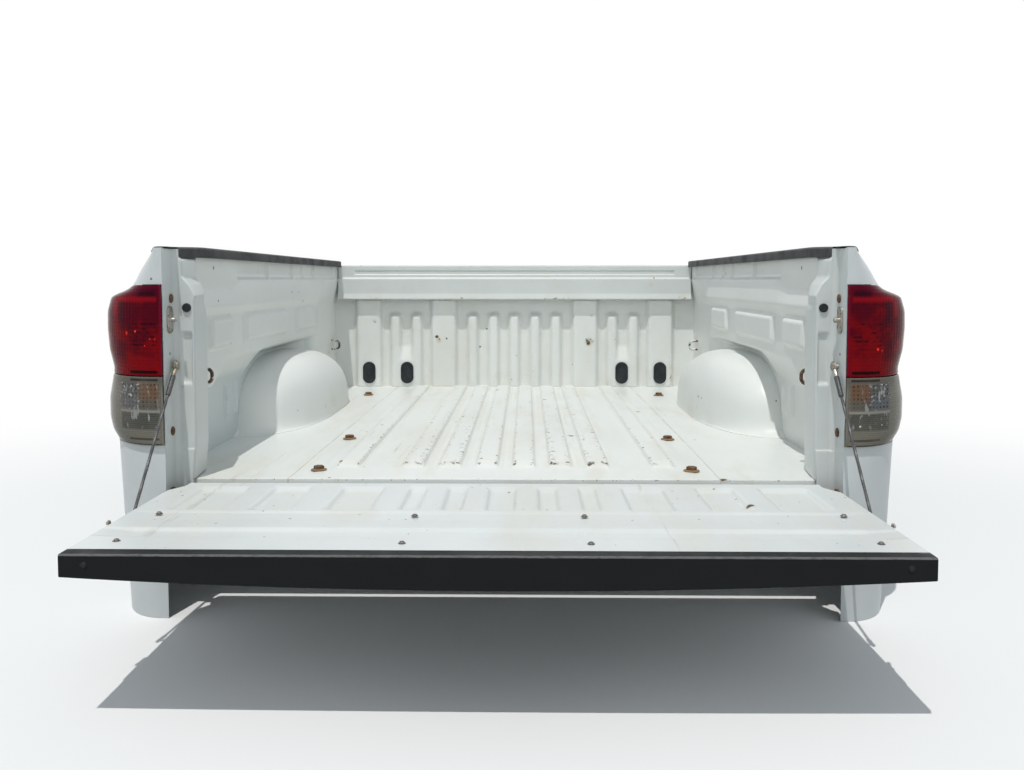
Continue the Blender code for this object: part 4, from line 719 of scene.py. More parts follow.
header_paint = finish("header_paint", worn_paint(0.14, 0.9, 0.2, HEADER_MARKS, base=HEADER_SHADED_WHITE),
                      Specular_IOR_Level=0.35)
piece("header_box", [header_form()], header_paint, "bed", ["bulkhead_header"], SHEET)

# Drain plugs
# Oblong moulded rubber plugs pushed into the bulkhead's drain holes. Black, faded and dusty, with a raised
# rim round a shallow dish.
PLUGS = (("left_outer", -0.645), ("left_inner", -PLUG_X), ("right_inner", PLUG_X), ("right_outer", 0.645))
PLUG_FACE_Y, PLUG_H = BULKHEAD_Y - RIB_STAND - FIT, 0.062
PLUG_ROUND, PLUG_STRAIGHT = 0.028, 0.020


def faded_rubber(place):
    """Black rubber gone grey: dust in clouds and a fine matt grain."""
    dust = band(noise(place, 30.0, 5.0), 0.40, 0.75)
    return {"Base Color": mixed(dust * 0.40, (0.022, 0.026, 0.030), (0.075, 0.078, 0.080)),
            "Roughness": 0.62 + dust * 0.2, "Normal": relief(noise(place, 1500.0, 2.0), 0.0002)}


def oblong_plug(x):
    """A stadium outline shrunk towards its middle in rings, each with its own stand off the sheet."""
    angle = round_angles(48)
    wide = PLUG_ROUND * np.cos(angle)
    tall = PLUG_ROUND * np.sin(angle) + PLUG_STRAIGHT * np.sign(np.sin(angle))
    shrink = np.array([1.0, 1.0, 0.97, 0.90, 0.84, 0.78, 0.40, 0.0])[:, None]
    stand = np.array([0.0, 0.0040, 0.0062, 0.0070, 0.0066, 0.0052, 0.0050, 0.0050])[:, None]
    return outward(grid(spread(x + shrink * wide, PLUG_FACE_Y - stand, PLUG_H + shrink * tall), wrap=True))


black_rubber = finish("black_rubber", faded_rubber, Specular_IOR_Level=0.2)
for name, x in PLUGS:
    piece(f"{name}_drain_plug", [oblong_plug(x)], black_rubber, "bed", [f"{name}_plug"])

# Inner sides
# Deep pressings that line the bed: a wall with raised pads, a shoulder under the rail, and a lower part set
# out under a sloping ledge, cut round the wheel housings. Painted steel, grimy in its corners, with small
# clip holes.
RAIL_H, RAIL_FLANGE_X = 0.5506, 0.802
WALL_REAR_Y, WALL_FOOT_H, WALL_ROUND = 0.165, -0.006, 0.007
WALL_LOW_X, WALL_X, WALL_FRONT_X = 0.830, 0.782, 0.797
FRONT_RAMP = (1.520, 1.640)
LEDGE_RAMP, LEDGE_H = (0.700, 0.790), (0.177, 0.236)
LEDGE_TOP_RAMP, LEDGE_TOP_H = (0.290, 0.400), (0.190, 0.256)
PAD_H = (0.287, 0.298, 0.362, 0.373)
WALL_PADS = ((0.262, 0.438), (0.570, 1.040), (1.210, 1.450))
PAD_STAND, PAD_SLOPE = 0.015, 0.010
EDGE_RAMP, EDGE_X, EDGE_H = (1.540, 1.770), (0.768, WALL_FRONT_X - 0.006), 0.402
SHOULDER_RAMP, SHOULDER_H = (0.420, 0.520), (0.440, 0.474)
SHOULDER_X, SHOULDER_RISE = 0.776, 0.008
POCKETS = ((0.520, 0.830), (0.872, 1.158), (1.200, 1.310), (1.345, 1.490), (1.530, 1.870))
POCKET_X, POCKET_DEPTH, POCKET_SLOPE = 0.780, 0.009, 0.014
HOUSING_Y, HOUSING_HALF, HOUSING_H = 1.110, 0.455, 0.225
PLAN_POWER = 2.8
HOUSING_FIT = 0.0008
BEAD_Y, BEAD_RUN_Y = (0.535, 0.620), (0.49, 0.67)
BEAD_H, BEAD_HALF, BEAD_DEPTH, BEAD_FLANK, BEAD_LEAST_X = 0.118, 0.034, 0.010, (0.005, 0.019), 0.81
CLIP_H, CLIP_Y = 0.505, (0.30, 0.60, 0.64, 0.95, 1.28, 1.60, 1.78)


def housing_height(y, clearance=0.0):
    """Height of the wheel housing's superellipse arch over a place along the bed, 0 outside it."""
    share = np.clip(np.abs(y - HOUSING_Y) / (HOUSING_HALF + clearance), 0.0, 1.0)
    return (HOUSING_H + clearance) * (1.0 - share ** PLAN_POWER) ** (1.0 / PLAN_POWER)


def on_runs(y, runs, slope):
    """1 along each (start, stop) run and 0 away from them, with a straight slope at each end."""
    off = np.min([np.maximum(np.maximum(start - y, y - stop), 0.0) for start, stop in runs], axis=0)
    return np.maximum(0.0, 1.0 - off / slope)


def wall_controls(y):
    """Control section of the inner side at each station: x and height from the floor to the top flange."""
    front = np.interp(y, FRONT_RAMP, (0.0, 1.0))
    low = WALL_LOW_X + (WALL_FRONT_X - WALL_LOW_X) * front
    wall = WALL_X + (WALL_FRONT_X - WALL_X) * front
    pad = wall - PAD_STAND * on_runs(y, WALL_PADS, PAD_SLOPE)
    edge = np.interp(y, EDGE_RAMP, EDGE_X)
    pocket = POCKET_X + POCKET_DEPTH * on_runs(y, POCKETS, POCKET_SLOPE)
    arch = housing_height(y, HOUSING_FIT)
    foot = np.where(arch > 0.0, arch, WALL_FOOT_H)
    ledge, ledge_top = np.interp(y, LEDGE_RAMP, LEDGE_H), np.interp(y, LEDGE_TOP_RAMP, LEDGE_TOP_H)
    shoulder = np.interp(y, SHOULDER_RAMP, SHOULDER_H)
    x = (low, low, wall, wall, pad, pad, wall, edge, SHOULDER_X, pocket, pocket, RAIL_FLANGE_X)
    h = (foot, ledge, ledge_top, *PAD_H, EDGE_H, shoulder, shoulder + SHOULDER_RISE, RAIL_H, RAIL_H)
    x, h = [np.stack(np.broadcast_arrays(*row), axis=1) for row in (x, h)]
    return spread(x, y[:, None], h)


def wall_beads(points):
    """Pushes two upright beads, round-ended, into the low wall behind the housing."""
    x, y, h = points[..., 0], points[..., 1], points[..., 2]
    off = np.minimum(np.abs(y - BEAD_Y[0]), np.abs(y - BEAD_Y[1]))
    ends = np.maximum(np.abs(h - BEAD_H) - BEAD_HALF, 0.0)
    swell = BEAD_DEPTH * (1.0 - ease(np.hypot(off, ends), *BEAD_FLANK)) * (x > BEAD_LEAST_X)
    return points - swell[..., None] * np.array([1.0, 0.0, 0.0])


def wall_form():
    """Control sections at the ends of every ramp, pad and pocket, closer over the arch and the beads, with
    rounded corners; the low wall has rows of its own for the beads."""
    ramps = (LEDGE_TOP_RAMP, SHOULDER_RAMP, LEDGE_RAMP, FRONT_RAMP, EDGE_RAMP)
    slopes = [(start - slope, start, stop, stop + slope)
              for runs, slope in ((WALL_PADS, PAD_SLOPE), (POCKETS, POCKET_SLOPE)) for start, stop in runs]
    breaks = np.unique(np.concatenate([[WALL_REAR_Y, FLOOR_END], *ramps, *slopes]))
    rounded = softened(spread(breaks, 0.0, 0.0)[None], 0.008)[0, :, 0]
    arch_y = HOUSING_Y - HOUSING_HALF * 1.0016 * np.cos(np.linspace(0.0, math.pi, 61))
    y = np.unique(np.round(np.concatenate([rounded, arch_y, np.linspace(*BEAD_RUN_Y, 61)]), 5))
    wall = softened(wall_controls(y), WALL_ROUND)
    lower = wall[:, :1] + (wall[:, 1:2] - wall[:, :1]) * np.linspace(0.0, 1.0, 22)[None, :, None]
    return grid(wall_beads(np.concatenate([lower, wall[:, 2:]], axis=1)))


def wall_paint(marks, holes, film_and_shade):
    """Worn paint with a painted highlight along the shoulder's edge below each pocket, and painted bluish
    shade low down.
    """
    def sockets(place):
        made = worn_paint(0.08, 0.6, 0.15, marks, holes)(place)
        out, reach, up = bed_axes(place)
        # Painted shade: a bluish grey mixed into the low wall, as strong as the share given, stands for the
        # rail's shadow there.
        low = band(out, 0.806, 0.824) * film_and_shade
        made["Base Color"] = mixed(low, made["Base Color"], (0.46, 0.54, 0.56))
        # Painted highlight: a near-white band along the shoulder's rounded edge under each pocket stands for
        # the sky's reflection there.
        painted_ledge_highlight = window(up, 0.472, 0.489, 0.003) * most(*[window(reach, *ends, 0.012) for ends in POCKETS])
        made["Base Color"] = mixed(painted_ledge_highlight * 0.85, made["Base Color"], (1.0, 1.0, 0.98))
        return made
    return sockets


for side, sign in SIDES:
    marks = ((sign * 0.79, 1.93, 0.20, 0.05, 0.5), (sign * 0.79, 1.85, 0.15, 0.08, 0.4),
             (sign * 0.80, 0.20, 0.01, 0.12, 0.45), (sign * 0.78, 0.75, 0.50, 0.02, 0.5),
             (sign * 0.78, 1.5, 0.52, 0.02, 0.5))
    holes = [(sign * POCKET_X, y, CLIP_H, 0.007) for y in CLIP_Y]
    holes += [(sign * 0.790, 1.84, 0.430, 0.007), (sign * POCKET_X, 0.62, 0.490, 0.006)]
    # Only the left wall, which stands in shade, gets the painted shade low down; the right wall gets none.
    side_paint = finish(f"{side}_side_paint", wall_paint(marks, holes, 0.5 if sign < 0 else 0.0),
                        Specular_IOR_Level=0.35)
    form = facing(mirrored(wall_form(), sign), (0.0, 1.0, 0.5))
    piece(f"{side}_inner_wall", [form], side_paint, "bed", [f"{side}_inner_side"], SHEET)

# Wheel housings
# Deep-drawn domes over the wheels, welded to the floor on a flared foot. Painted steel, the smoothest and
# shiniest part of the bed, with a few rust specks and dirt round the foot.
HOUSING_INNER_X, HOUSING_OUTER_X = 0.630, 0.925
SECTION_POWER = 2.9
REAR_POWER, FRONT_POWER = 2.2, 5.0
REAR_FLARE, SIDE_FLARE, FLARE_H = 0.050, 0.004, 0.070


def housing_form():
    """Rows along the bed and columns up the section, both superellipses, the plan rounder at the rear than in
    front; the rear foot flares out in a fillet, and the last column runs out level to the outer side."""
    t = np.linspace(0.0, math.pi, 97)[:, None]
    f = math.pi / 2 * np.linspace(0.0, 1.0, 41)[None, :] ** 2
    run = np.sign(np.cos(t)) * np.abs(np.cos(t)) ** (2 / PLAN_POWER)
    swell = np.abs(np.sin(t)) ** (2 / PLAN_POWER)
    reach = np.abs(np.cos(f)) ** (2 / SECTION_POWER)
    h = HOUSING_H * swell * np.sin(f) ** (2 / SECTION_POWER)
    power = np.where(run > 0.0, REAR_POWER, FRONT_POWER)
    width = (1.0 - np.minimum(np.abs(run), 1.0) ** power) ** (1.0 / power)
    flare = (1.0 - np.sqrt(np.clip(h / FLARE_H, 0.0, 1.0))) ** 2
    x = WALL_LOW_X - ((WALL_LOW_X - HOUSING_INNER_X) * width + SIDE_FLARE * flare) * reach
    y = HOUSING_Y - (HOUSING_HALF + np.where(run > 0.0, REAR_FLARE, SIDE_FLARE) * flare) * run
    dome = spread(x, y, h + FIT)
    shelf = dome[:, -1:] * np.array([0.0, 1.0, 1.0]) + np.array([HOUSING_OUTER_X, 0.0, 0.0])
    return grid(np.concatenate([dome, shelf], axis=1))


for side, sign in SIDES:
    marks = ((sign * 0.62, 0.86, 0.02, 0.07, 0.35), (sign * 0.625, 1.10, 0.015, 0.10, 0.35),
             (sign * 0.655, 1.42, 0.10, 0.05, 0.4), (sign * 0.63, 1.0, 0.04, 0.012, 0.9))
    holes = [(sign * 0.638, 0.955, 0.078, 0.007), (sign * 0.636, 0.995, 0.078, 0.007)] if sign > 0 else ()
    housing_paint = finish(f"{side}_housing_paint", worn_paint(0.14, 0.6, 0.1, marks, holes),
                           Specular_IOR_Level=0.25)
    form = facing(mirrored(housing_form(), sign), (0.0, 1.1, 0.6))
    piece(f"{side}_housing_dome", [form], housing_paint, "bed", [f"{side}_wheel_housing"],
          SHEET)

# Outer sides
# The bed's outer skins: steel pressings that turn the rear corner round the lamp, swell over the wheel arch
# and end in hems. Gloss white paint, cleaner than the load space.
SKIRT_H, BELT_H, HEM = -0.310, 0.270, 0.024
SIDE_H = (-0.310, -0.100, 0.0, 0.094, 0.200, 0.300, 0.400, 0.440, 0.463, 0.506, 0.545, 0.5525)
SIDE_X = (0.913, 0.926, 0.931, 0.936, 0.948, 0.948, 0.935, 0.912, 0.886, 0.858, 0.820, 0.803)
CORNER_X, CORNER_LENGTH, REAR_FACE_Y = 0.790, 0.170, -0.075
CORNER_Y = REAR_FACE_Y + CORNER_LENGTH
CORNER_COLUMNS = 26
SIDE_FRONT_Y, SIDE_SPREAD = 2.030, 0.012
ARCH_HALF, ARCH_RISE, ARCH_FLARE, FLARE_REACH = 0.440, 0.520, 0.022, 0.060
TOP_EDGE_X, TOP_EDGE_SETBACK = 0.795, 0.012
RAIL_DROOP = 0.006
LAMP_H = (0.094, 0.463)
OPENING_HALF = 0.775
# Painted shade: the outer skins' white is a darker, cooler copy of the bed's white, for the weaker light on
# them.
OUTER_SHADED_WHITE = (0.68, 0.72, 0.73)


def rounded_profile(h, heights, widths, reach):
    """A straight-line profile averaged over a reach of heights up and down, which rounds its corners."""
    shifts = np.linspace(-reach, reach, 9)
    return np.interp(h[..., None] + shifts, heights, widths).mean(axis=-1)


def side_spread(y):
    """How far the outer side stands out more than at its rear corner: it widens over half a metre."""
    return np.interp(y, (CORNER_Y, CORNER_Y + 0.5), (0.0, SIDE_SPREAD))


def rail_droop(y, h):
    """How far the rail sinks towards its rear end: smoothly at the top, nothing below the lamp's head."""
    return RAIL_DROOP * (1.0 - ease(y, REAR_FACE_Y, 0.220)) * ease(h, 0.470, 0.550)


def outer_side_form():
    """Columns from the rear face round an elliptic corner and along the side, rows from the rail flange down
    to the hem; the rows below the belt close up over the half-ellipse of the wheel arch."""
    arch_y = HOUSING_Y - ARCH_HALF * np.cos(np.linspace(0.0, math.pi, 49))
    side_y = np.unique(np.concatenate([np.linspace(CORNER_Y + 0.03, SIDE_FRONT_Y, 36), arch_y]))
    corner_t = np.concatenate([[math.pi / 2], np.linspace(math.pi / 2, 0.0, CORNER_COLUMNS - 1)])
    t = np.concatenate([corner_t, 0.0 * side_y])[:, None]
    y = np.concatenate([CORNER_Y - CORNER_LENGTH * np.sin(corner_t), side_y])[:, None]
    bottom = SKIRT_H + ARCH_RISE * np.sqrt(np.maximum(0.0, 1.0 - ((y - HOUSING_Y) / ARCH_HALF) ** 2))
    upper = np.unique(np.concatenate([np.linspace(BELT_H, SIDE_H[-1], 26), LAMP_H[1:]]))[::-1][None, :]
    lower = np.unique(np.concatenate([np.linspace(SKIRT_H, BELT_H, 24), LAMP_H[:1]]))[::-1][None, 1:]
    lower = BELT_H - (BELT_H - lower) * (BELT_H - bottom) / (BELT_H - SKIRT_H)
    h = np.concatenate([upper + 0.0 * y, lower], axis=1)
    ring = np.hypot((y - HOUSING_Y) / ARCH_HALF, (h - SKIRT_H) / ARCH_RISE)
    swell = ARCH_FLARE * np.exp(-((np.maximum(0.0, ring - 1.0) * ARCH_HALF / FLARE_REACH) ** 2)) * (t == 0.0)
    reach = rounded_profile(h, SIDE_H, SIDE_X, 0.014) - CORNER_X
    x = CORNER_X + reach * np.cos(t) + side_spread(y) + swell
    x[0] = OPENING_HALF
    skin = spread(x, y, h)
    rear = t > 0.0
    top_y = np.maximum(y[:, 0], REAR_FACE_Y + TOP_EDGE_SETBACK)
    top = spread(np.minimum(x[:, 0], TOP_EDGE_X), top_y, h[:, 0])
    inward = np.concatenate([-np.cos(t) * (np.arange(len(t)) > 0)[:, None], np.sin(t), 0.0 * t], axis=1)
    hem = skin[:, -1] + HEM * inward
    points = np.concatenate([top[:, None], skin, hem[:, None]], axis=1)
    points[..., 2] -= rail_droop(points[..., 1], points[..., 2])
    level = (points[:-1, :-1, 2] + points[:-1, 1:, 2]) / 2
    in_lamp = (rear[1:] | rear[:-1]) & (level > LAMP_H[0]) & (level < LAMP_H[1])
    return grid(points, keep=~in_lamp)


outer_paint = finish("outer_paint", worn_paint(0.08, 0.2, 0.05, base=OUTER_SHADED_WHITE), Specular_IOR_Level=0.45)
for side, sign in SIDES:
    form = turned_over(facing(mirrored(outer_side_form(), sign), (0.0, 1.0, 0.1)))
    piece(f"{side}_outer_skin", [form], outer_paint, "bed", [f"{side}_outer_side"], SHEET)

# Tailgate pillars
# Pressed posts at the rear opening: a cheek off the inner wall, a rear flange with a long sunk slot and a
# tooth above it, and the jamb that carries the latch striker and the cable's stud. White paint, rusting round
# the bolts.
FLANGE_Y, PILLAR_FOOT_H, PILLAR_ROUND = -0.0025, -0.110, 0.004
LIP_H = (0.0, 0.074, 0.415, 0.436, 0.462, 0.480, 0.522, 0.530)
LIP_X = (0.735, 0.730, 0.728, 0.724, 0.738, 0.755, 0.757, 0.7625)
FOOT_STEP_H, FOOT_STEP = 0.073, 0.0022
SLOT_H, SLOT_RIM_H, SLOT_X, SLOT_DEPTH = (0.234, 0.343), (0.226, 0.351), (0.730, 0.757), 0.007
TOOTH_H, TOOTH_CHEEK = (0.395, 0.430, 0.470), (0.012, 0.024, 0.012)
CHEEK_TOP, CHEEK_FOLD_Y, LIP_FOLD_Y = 0.526, 0.125, 0.004
JAMB_CORNER_X, JAMB_CORNER_Y, JAMB_END_Y = 0.767, -0.0125, REAR_FACE_Y + 0.0019
FLANGE_COLUMN = 1 + 2 * (ROUND_STEPS + 2)
JAMB_BOLTS = ((-0.024, 0.430), (-0.029, 0.120))
# Painted shade: the pillars' white is a darker, cooler copy of the bed's white, for the weaker light on their
# rear faces.
PILLAR_SHADED_WHITE = (0.66, 0.695, 0.69)


def pillar_form():
    """Levels up the post and a path round it: cheek, fold, flange with its slot, jamb. The corners are
    rounded, and the cheek stops at the floor and below the rail cap."""
    section = wall_controls(np.array([WALL_REAR_Y]))[0, :-1]
    ends = (PILLAR_FOOT_H, FIT, FOOT_STEP_H, CHEEK_TOP)
    levels = np.unique(np.concatenate([ends, LIP_H[1:], SLOT_H, SLOT_RIM_H, section[1:, 2]]))
    lip = np.interp(levels, LIP_H, LIP_X)
    slot_in = np.maximum(SLOT_X[0], lip + 0.006)
    slot_out = np.maximum(SLOT_X[1], slot_in + 0.006)
    face = FLANGE_Y - FOOT_STEP * (levels <= FOOT_STEP_H)
    deep = face + SLOT_DEPTH * ((levels >= SLOT_H[0]) & (levels <= SLOT_H[1]))
    flange = np.stack([lip + 0.003, slot_in - 0.001, slot_in + 0.002, slot_out, slot_out + 0.004], axis=1)
    flange = np.minimum(flange, JAMB_CORNER_X - 0.0006 * np.arange(5, 0, -1))
    x = (np.interp(levels, section[:, 2], section[:, 0]), lip + np.interp(levels, TOOTH_H, TOOTH_CHEEK), lip,
         *flange.T, JAMB_CORNER_X, OPENING_HALF, OPENING_HALF)
    y = (WALL_REAR_Y - FIT, CHEEK_FOLD_Y, LIP_FOLD_Y, face, face, deep, deep, face, face, JAMB_CORNER_Y,
         JAMB_END_Y)
    x, y = [np.stack(np.broadcast_arrays(*row), axis=1) for row in (x, y)]
    points = softened(softened(spread(x, y, levels[:, None]), PILLAR_ROUND), PILLAR_ROUND, axis=0)
    points[..., 2] -= rail_droop(points[..., 1], points[..., 2])
    level = (points[:-1, :-1, 2] + points[1:, :-1, 2]) / 2
    on_flange = np.arange(level.shape[1])[None, :] >= FLANGE_COLUMN
    return grid(points, keep=on_flange | ((level > FIT) & (level < CHEEK_TOP)))


def stud_form(foot, heading, y, h, reach):
    """A shoulder stud along X from its foot: shank, then a domed head past the cable's eye."""
    spots = np.array([0.0, 0.0, reach, reach, reach + 0.0018, reach + 0.0030, reach + 0.0035, reach + 0.0035])
    radii = (0.0, 0.0055, 0.0055, 0.0103, 0.0105, 0.0090, 0.0060, 0.0)
    return lathe((foot, y, h), 0, radii, heading * spots)


for side, sign in SIDES:
    jamb = sign * OPENING_HALF
    marks = (*[(jamb, y, h, size, 0.8) for (y, h), size in zip(JAMB_BOLTS, (0.014, 0.016))],
             (jamb, -0.035, 0.381, 0.03, 0.35), (sign * 0.74, 0.02, 0.005, 0.03, 0.5),
             (jamb, -0.035, -0.035, 0.05, 0.45))
    holes = ((jamb, -0.034, 0.302, 0.0055),)
    pillar_paint = finish(f"{side}_pillar_paint", worn_paint(0.10, 0.6, 0.1, marks, holes, PILLAR_SHADED_WHITE),
                          Specular_IOR_Level=0.4)
    form = facing(mirrored(pillar_form(), sign), (0.0, -1.0, 0.3))
    piece(f"{side}_pillar", [form], pillar_paint, "bed", [f"{side}_tailgate_pillar"], SHEET)
    stud = stud_form(sign * 0.7758, -sign, *CABLE_TOP[1:], 0.0126)
    piece(f"{side}_upper_stud", [stud], plated_steel, "bed")
    bolts = [stud_form(sign * 0.7752, -sign, y, h, 0.0008) for y, h in JAMB_BOLTS]
    piece(f"{side}_jamb_bolts", bolts, rusty_steel, "bed")

# Rail caps
# Moulded black covers clipped over the bed rails; the inner lip stops at the pillar, the top runs on over the
# rear corner. Faded to charcoal, dusty, scuffed pale along the edge.
# Its pale edge is partly scuffing and partly a painted sheen on upward edges.
RAIL_TOP = 0.5558
RAIL_CAP_PATH = np.array(((0.7630, 0.529), (0.7630, RAIL_TOP - 0.004), (0.7670, RAIL_TOP - 0.0004),
                          (0.7860, RAIL_TOP), (0.8060, RAIL_TOP - 0.0006), (0.8145, 0.5530), (0.8200, 0.5480),
                          (0.8240, 0.5435)))
RAIL_CAP_GAUGE, RAIL_CAP_ROUND = 0.0026, 0.003
RAIL_CAP_REAR, RAIL_CAP_FRONT_Y = (-0.055, -0.040, -0.020, 0.0006), 1.9634
INNER_LIP_COLUMNS = 10


def faded_plastic(tint=(0.020, 0.022, 0.025), scuff_and_sheen_share=0.4):
    """Black moulded plastic: a fine grain, a dust film, and pale scuffs, stronger on its upward edges where
    they also paint sheen.
    """
    def sockets(place):
        turn = place.node("ShaderNodeAttribute", out="Fac", attribute_name="bend")
        normal = place.node("ShaderNodeTexCoord", out="Normal")
        lean = place.node("ShaderNodeSeparateXYZ", {0: normal}, out="Z")
        dust = band(noise(place, 12.0, 6.0), 0.38, 0.72)
        # Painted sheen: bent edges that face up are made paler, standing for the sky's reflection on them, on
        # top of real scuffing.
        edge = band(turn, 0.25, 0.9) * band(lean, 0.10, 0.45)
        scuff_and_sheen = band(noise(place, 260.0, 5.0, (0.3, 1.0, 1.0), 0.6) * 0.6 + edge * 0.45, 0.50, 0.80)
        colour = mixed(dust * 0.25, tint, tuple(2.0 * part for part in tint))
        return {"Base Color": mixed(scuff_and_sheen * scuff_and_sheen_share, colour, (0.22, 0.22, 0.22)),
                "Roughness": 0.45 + dust * 0.2 + scuff_and_sheen * 0.15,
                "Normal": relief(noise(place, 1400.0, 2.0), 0.00025)}
    return sockets


def rail_cap_form():
    """A path across the rail swept along it: it follows the outer side round the corner and droops with it,
    and its inner lip is left out behind the pillar's flange."""
    front_run = np.linspace(0.25, RAIL_CAP_FRONT_Y, 36)
    y = np.concatenate([RAIL_CAP_REAR, np.linspace(0.03, 0.20, 8), front_run])[:, None]
    corner = np.sqrt(1.0 - (np.maximum(CORNER_Y - y, 0.0) / CORNER_LENGTH) ** 2)
    path_x, path_h = RAIL_CAP_PATH.T
    shift = (path_x - CORNER_X) * (corner - 1.0) + side_spread(y)
    x = path_x + np.where(path_x > CORNER_X, shift, 0.0)
    points = softened(spread(x, y, path_h - rail_droop(y, path_h)), RAIL_CAP_ROUND)
    behind = (y[:-1] < 0.0) & (np.arange(points.shape[1] - 1) < INNER_LIP_COLUMNS)
    return grid(points, keep=~behind)


rail_plastic = finish("rail_plastic", faded_plastic(), Specular_IOR_Level=0.15)
for side, sign in SIDES:
    form = turned_over(facing(mirrored(rail_cap_form(), sign), (sign * 0.80, 1.0, 0.50)))
    piece(f"{side}_rail_cover", [form], rail_plastic, "bed", [f"{side}_rail_cap"],
          RAIL_CAP_GAUGE)

# Tie-down loops
# Bent steel rod, its feet welded to a small pad on the inner wall, painted over with the bed. Ropes have worn
# the paint off the bow and rust runs from it.
LOOPS = (("rear", 0.1755, 0.229), ("front", 1.900, 0.190))
LOOP_WIRE, LOOP_REACH, LOOP_HALF, LOOP_BEND, LOOP_NECK = 0.0045, 0.034, 0.018, 0.0144, 0.008
LOOP_WEAR = {"rear": 0.75, "front": 0.3}


def sweep(route, radius, sides=16, up=(0.0, 1.0, 0.0)):
    """A round tube along a flat route of points, its ends closed; up is square to the route's plane."""
    heading = np.gradient(route, axis=0)
    heading /= np.linalg.norm(heading, axis=1, keepdims=True)
    up = np.asarray(up)
    out = np.cross(heading, up)
    angle = round_angles(sides)[None, :, None]
    tube = route[:, None] + radius * (np.cos(angle) * out[:, None] + np.sin(angle) * up)
    ends = [np.repeat(route[end][None, None], sides, axis=1) for end in (0, -1)]
    return outward(grid(np.concatenate([ends[0], tube, ends[1]]), wrap=True))


def loop_form(sign, y, h):
    """Rod out from the wall, round a quarter circle, up, and back the same way."""
    section = wall_controls(np.array([y]))[0, 1:]
    foot = float(np.interp(h, section[:, 2], section[:, 0])) - FIT
    turn = np.linspace(0.0, math.pi / 2, 10)
    out = foot - LOOP_REACH + LOOP_BEND * (1.0 - np.sin(turn))
    low = -LOOP_HALF + LOOP_BEND * (1.0 - np.cos(turn))
    x = np.concatenate([[foot, foot - LOOP_NECK], out, out[::-1], [foot - LOOP_NECK, foot]])
    rise = np.concatenate([[-LOOP_HALF, -LOOP_HALF], low, -low[::-1], [LOOP_HALF, LOOP_HALF]])
    return sweep(spread(sign * x, y, h + rise), LOOP_WIRE)


loop_marks = [(sign * 0.76, y, h, 0.03, LOOP_WEAR[where]) for where, y, h in LOOPS for side, sign in SIDES]
loop_paint = finish("loop_paint", worn_paint(0.5, 2.5, 0.2, loop_marks), Specular_IOR_Level=0.35)
for side, sign in SIDES:
    for where, y, h in LOOPS:
        piece(f"{side}_{where}_loop", [loop_form(sign, y, h)], loop_paint, "bed",
              [f"{side}_{where}_tie_down"])

# Latch strikers
# A rounded plate with two fixing screws on the jamb and a pin that the latch claw hooks over. Zinc-plated
# steel gone brassy and rusty.
SMALL_ROUND = 0.0006
dress([f"{side}_striker" for side, sign in SIDES], plated_steel, SMALL_ROUND)

# Bump stops
# Moulded rubber buttons pressed into the pillars; the shut tailgate leans on them. Black, faded and dusty.
BUMP_X, BUMP_H = 0.745, 0.408


def button(sign):
    """Rings about the Y axis: a skirt, a round shoulder and a slightly dished face."""
    radii = (0.0, 0.0104, 0.0105, 0.0104, 0.0096, 0.0078, 0.0050, 0.0)
    stand = np.array([0.0, 0.0, 0.0004, 0.0028, 0.0043, 0.0050, 0.0048, 0.0046])
    return lathe((sign * BUMP_X, FLANGE_Y - FIT, BUMP_H), 1, radii, -stand, 40)


for side, sign in SIDES:
    piece(f"{side}_stop_button", [button(sign)], black_rubber, "bed", [f"{side}_bump_stop"])

# Tail lamps
# Two lenses moulded in acrylic, red above and clear below, on a black housing in the rear corner. Behind the
# red one show a fine optic grid and a dark bulb; behind the clear one an amber and a silver bowl over ribbed
# glass.
LAMP_SEAM, LAMP_X, LENS_GAUGE = 0.253, 0.7755, 0.003
LAMP_DEPTH = CORNER_LENGTH + 0.008
LAMP_PROFILE_H = (0.094, 0.120, 0.150, 0.197, 0.230, 0.265, 0.310, 0.360, 0.400, 0.437, 0.449, 0.463)
LAMP_PROFILE_X = (0.932, 0.950, 0.957, 0.957, 0.950, 0.943, 0.955, 0.959, 0.958, 0.946, 0.903, 0.884)
LAMP_FOOT_GAP, LAMP_HEAD_GAP, SEAM_GAP = 0.0006, 0.002, 0.0008
BORDER_TURN, BORDER_WIDTH = 0.0024, 0.003


def lens_form(low, high):
    """Columns from the inner edge round the lamp's elliptic corner, rows up its rounded profile; the border
    turns in by a small round."""
    t = np.concatenate([[math.pi / 2], np.linspace(math.pi / 2, 0.002 / LAMP_DEPTH, 33)])[:, None]
    border = np.array([0.0, 0.0006, 0.0016])
    between = np.linspace(low + 0.004, high - 0.004, 40)
    h = np.concatenate([low + border, between, high - border[::-1]])[None, :]
    edge = np.minimum(h - low, high - h)
    turn_in = BORDER_TURN * (1.0 - np.clip(edge / BORDER_WIDTH, 0.0, 1.0)) ** 2
    reach = rounded_profile(h, LAMP_PROFILE_H, LAMP_PROFILE_X, 0.007) - CORNER_X - turn_in
    x = CORNER_X + reach * np.cos(t)
    x[0] = LAMP_X
    return grid(spread(x, CORNER_Y - (LAMP_DEPTH - turn_in) * np.sin(t), h))


def waves(value, pitch):
    """Ridges at a pitch, 0 to 1."""
    return value.sum("SINE", value * (2.0 * math.pi / pitch)) * 0.5 + 0.5


def lamp_axes(place):
    """Distance out from the lamp's inner edge and height above the bed floor."""
    out, reach, up = bed_axes(place)
    return out - LAMP_X, up


def pane(out, up, left, right, low, high, soft, soft_up=None):
    """1 inside a rectangle of the lens, with soft edges."""
    return window(out, left, right, soft) * window(up, low, high, soft_up or soft)


def panes(colour, out, up, rows):
    """Lays soft-edged panes over a colour: out from, to; up from, to; softness; share; tint."""
    for *place, share, tint in rows:
        colour = mixed(pane(out, up, *place) * share, colour, tint)
    return colour


